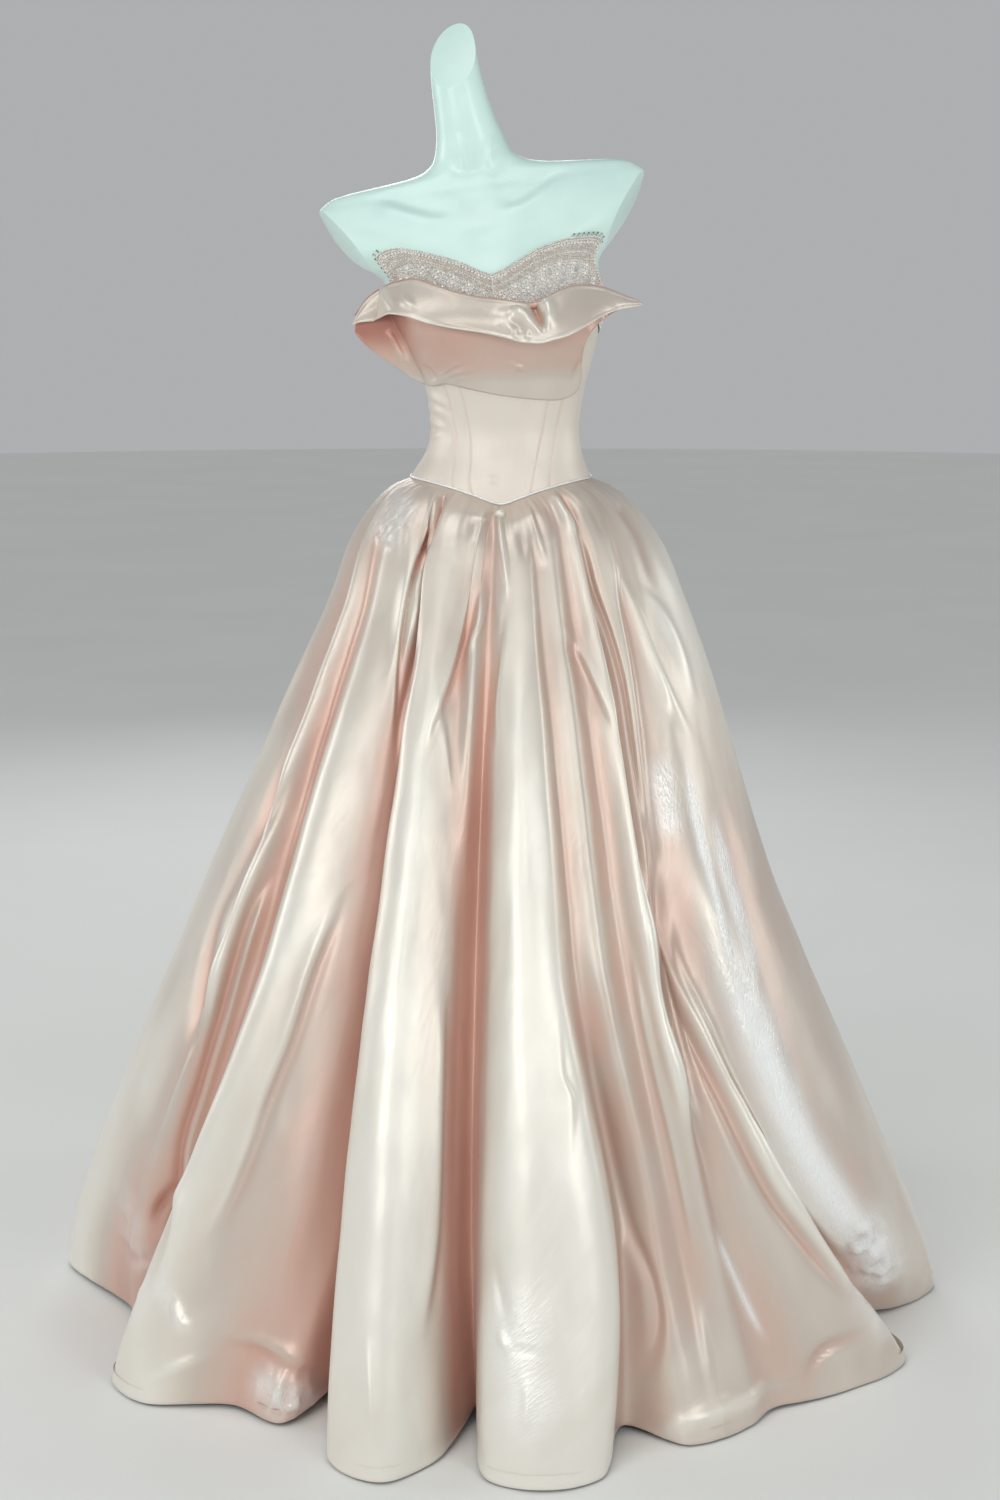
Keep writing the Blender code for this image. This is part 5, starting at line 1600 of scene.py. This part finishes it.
def make_piping(look):
    """The corded edge along the waist seam, painted white all over as its highlight."""
    degs = np.linspace(-180.0 + ZIP_GAP_DEG, 180.0 - ZIP_GAP_DEG, PIPING_POINTS)
    line = bodice_point(np.zeros(PIPING_POINTS), degs, EASE + SATIN + PIPING_OUT * PIPING_RADIUS)
    line = line + np.array([0.0, 0.0, PIPING_UP * PIPING_RADIUS])
    along = unit(np.gradient(line, axis=0))
    out = unit(np.cross(along, np.array([0.0, 0.0, 1.0])))
    up = np.cross(out, along)
    turns = np.linspace(0.0, 2 * math.pi, PIPING_SIDES + 1)[:, None, None]
    grid = line + PIPING_RADIUS * (np.cos(turns) * out + np.sin(turns) * up)
    # Foil-like all over, so its colour is painted white as a highlight
    return add_cloth("waist_piping", grid, look, foil_and_highlight=np.ones(grid.shape[:2]))


def make_knot(look):
    """The small gathered knot at the point of the waist."""
    turns = np.linspace(0.0, 2 * math.pi, KNOT_COLUMNS)[None, :]
    tilts = np.linspace(KNOT_END, math.pi - KNOT_END, KNOT_ROWS)[:, None]
    grid = np.stack(
        [np.sin(tilts) * np.cos(turns), np.sin(tilts) * np.sin(turns), np.cos(tilts) + 0 * turns], -1
    )
    rumple = 1 + KNOT_RUMPLE / KNOT_SIZE[1] * noise(grid, KNOT_GRAIN, KNOT_SEED)
    centre = smooth_skirt(0.0, KNOT_DROP) + np.array([0.0, -KNOT_OUT, 0.0])
    grid = centre + grid * rumple[..., None] * np.array(KNOT_SIZE)
    return add_cloth("waist_knot", grid, look)


def make_zip_parts(look):
    """Teeth of the closed zip, with its slider at the top and its pull hanging down."""
    corners = np.array(list(itertools.product((-1.0, 1.0), repeat=3)))
    faces = [(0, 1, 3, 2), (4, 6, 7, 5), (0, 4, 5, 1), (2, 3, 7, 6), (0, 2, 6, 4), (1, 5, 7, 3)]
    low, high = (bodice_height(share, ZIP_DEG) for share in ZIP_SHARES)
    heights = np.arange(low, high, TOOTH_SPACING)
    out = EASE + ZIP_THICK + TOOTH_OUT * TOOTH_SIZE[1]
    centres = form_point(heights, np.full(len(heights), ZIP_DEG), out)
    centres[:, 0] += np.where(np.arange(len(heights)) % 2, TOOTH_SHIFT, -TOOTH_SHIFT)
    sizes = np.tile(TOOTH_SIZE, (len(heights), 1))
    add_copies("zip_teeth", corners, faces, centres, sizes, look)
    slider = form_point(high + SLIDER_UP, ZIP_DEG, EASE + ZIP_THICK + SLIDER_SIZE[1])
    pull = slider + np.array([0.0, SLIDER_SIZE[1] + PULL_SIZE[1], -PULL_SIZE[2]])
    centres = np.stack([slider, pull])
    add_copies("zip_slider", corners, faces, centres, [SLIDER_SIZE, PULL_SIZE], look)


def make_form(look):
    """Torso, shoulders and neck, trimmed flat at both arms and at the slanted neck."""
    heights = np.linspace(FORM_BOTTOM, FORM_TOP, FORM_FINE_ROWS)[:, None]
    degs = np.linspace(-180.0, 180.0, FORM_COLUMNS_ROUND, endpoint=False)[None, :]
    grid = form_point(heights, degs)
    normals = -facing(grid, wraps=True)
    shows = normals[..., 1] < -FRONT_FROM
    raised = pressed(grid[..., 0], grid[..., 2], shows, FORM_MARKS)
    grid = grid + normals * raised[..., None]
    work = bmesh.new()
    rings = [[work.verts.new(point) for point in row] for row in grid.tolist()]
    for lower, upper in zip(rings, rings[1:]):
        for side in range(FORM_COLUMNS_ROUND):
            after = (side + 1) % FORM_COLUMNS_ROUND
            work.faces.new((lower[side], lower[after], upper[after], upper[side]))
    work.faces.new(reversed(rings[0]))
    work.faces.new(rings[-1])
    for point, cut_away, reach in FORM_CUTS:
        trim(work, np.array(point), np.array(cut_away), reach)
    mesh = bpy.data.meshes.new("display_form")
    work.to_mesh(mesh)
    work.free()
    mesh.materials.append(look)
    mesh.shade_smooth()
    mesh.set_sharp_from_angle(angle=math.radians(SHARP_DEG))
    piece = bpy.data.objects.new("display_form", mesh)
    bpy.context.scene.collection.objects.link(piece)
    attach(piece, BODY)
    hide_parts("form_torso")


def trim(work, point, cut_away, reach):
    """Cuts the form with a plane, as far as the plane reaches, and closes it flat."""

    def near(face):
        return all(np.linalg.norm(np.array(vert.co) - point) < reach for vert in face.verts)

    faces = [face for face in work.faces if near(face)]
    edges = {edge for face in faces for edge in face.edges}
    verts = {vert for face in faces for vert in face.verts}
    made = bmesh.ops.bisect_plane(
        work,
        geom=[*verts, *edges, *faces],
        plane_co=point.tolist(),
        plane_no=cut_away.tolist(),
        clear_outer=True,
    )
    rim = [item for item in made["geom_cut"] if isinstance(item, bmesh.types.BMEdge)]
    bmesh.ops.contextual_create(work, geom=rim)
    gap = [edge for edge in work.edges if len(edge.link_faces) == 1]
    bmesh.ops.holes_fill(work, edges=gap)
    ends = {vert for edge in gap for vert in edge.verts}
    rounded = [edge for edge in rim if not ends.intersection(edge.verts)]
    bmesh.ops.bevel(
        work,
        geom=rounded,
        offset=RIM_ROUND,
        segments=RIM_STEPS,
        profile=0.5,
        affect="EDGES",
        clamp_overlap=True,
    )
    loose = [edge for edge in work.edges if not edge.link_faces]
    bmesh.ops.delete(work, geom=loose, context="EDGES")


def finish_nodes(steel, tape):
    """The CAD nodes that stay get their finish."""
    for name, look in (("form_base", steel), ("form_pole", steel), ("back_zip", tape)):
        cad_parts[name].material_slots[0].material = look


def main():
    add_camera()
    add_lights()
    add_floor()
    blush = satin("blush_satin", SKIRT_TONES, BLUSH_ROUGHNESS, BLUSH_METALLIC)
    ivory = satin("bodice_satin", BODICE_TONES, BODICE_ROUGHNESS, BODICE_METALLIC)
    steel = brushed_steel("brushed_steel")
    make_skirt(blush, [make_piping(blush), make_knot(blush)])
    make_bodice(ivory)
    make_drape(blush)
    bead_looks = {kind: bead_gloss(kind + "_beads", *look) for kind, look in BEAD_LOOKS.items()}
    make_band(lace("beaded_lace"), make_beads(bead_looks))
    make_zip_parts(steel)
    make_form(plastic_shell("moulded_shell"))
    finish_nodes(steel, woven_tape("woven_tape"))


main()
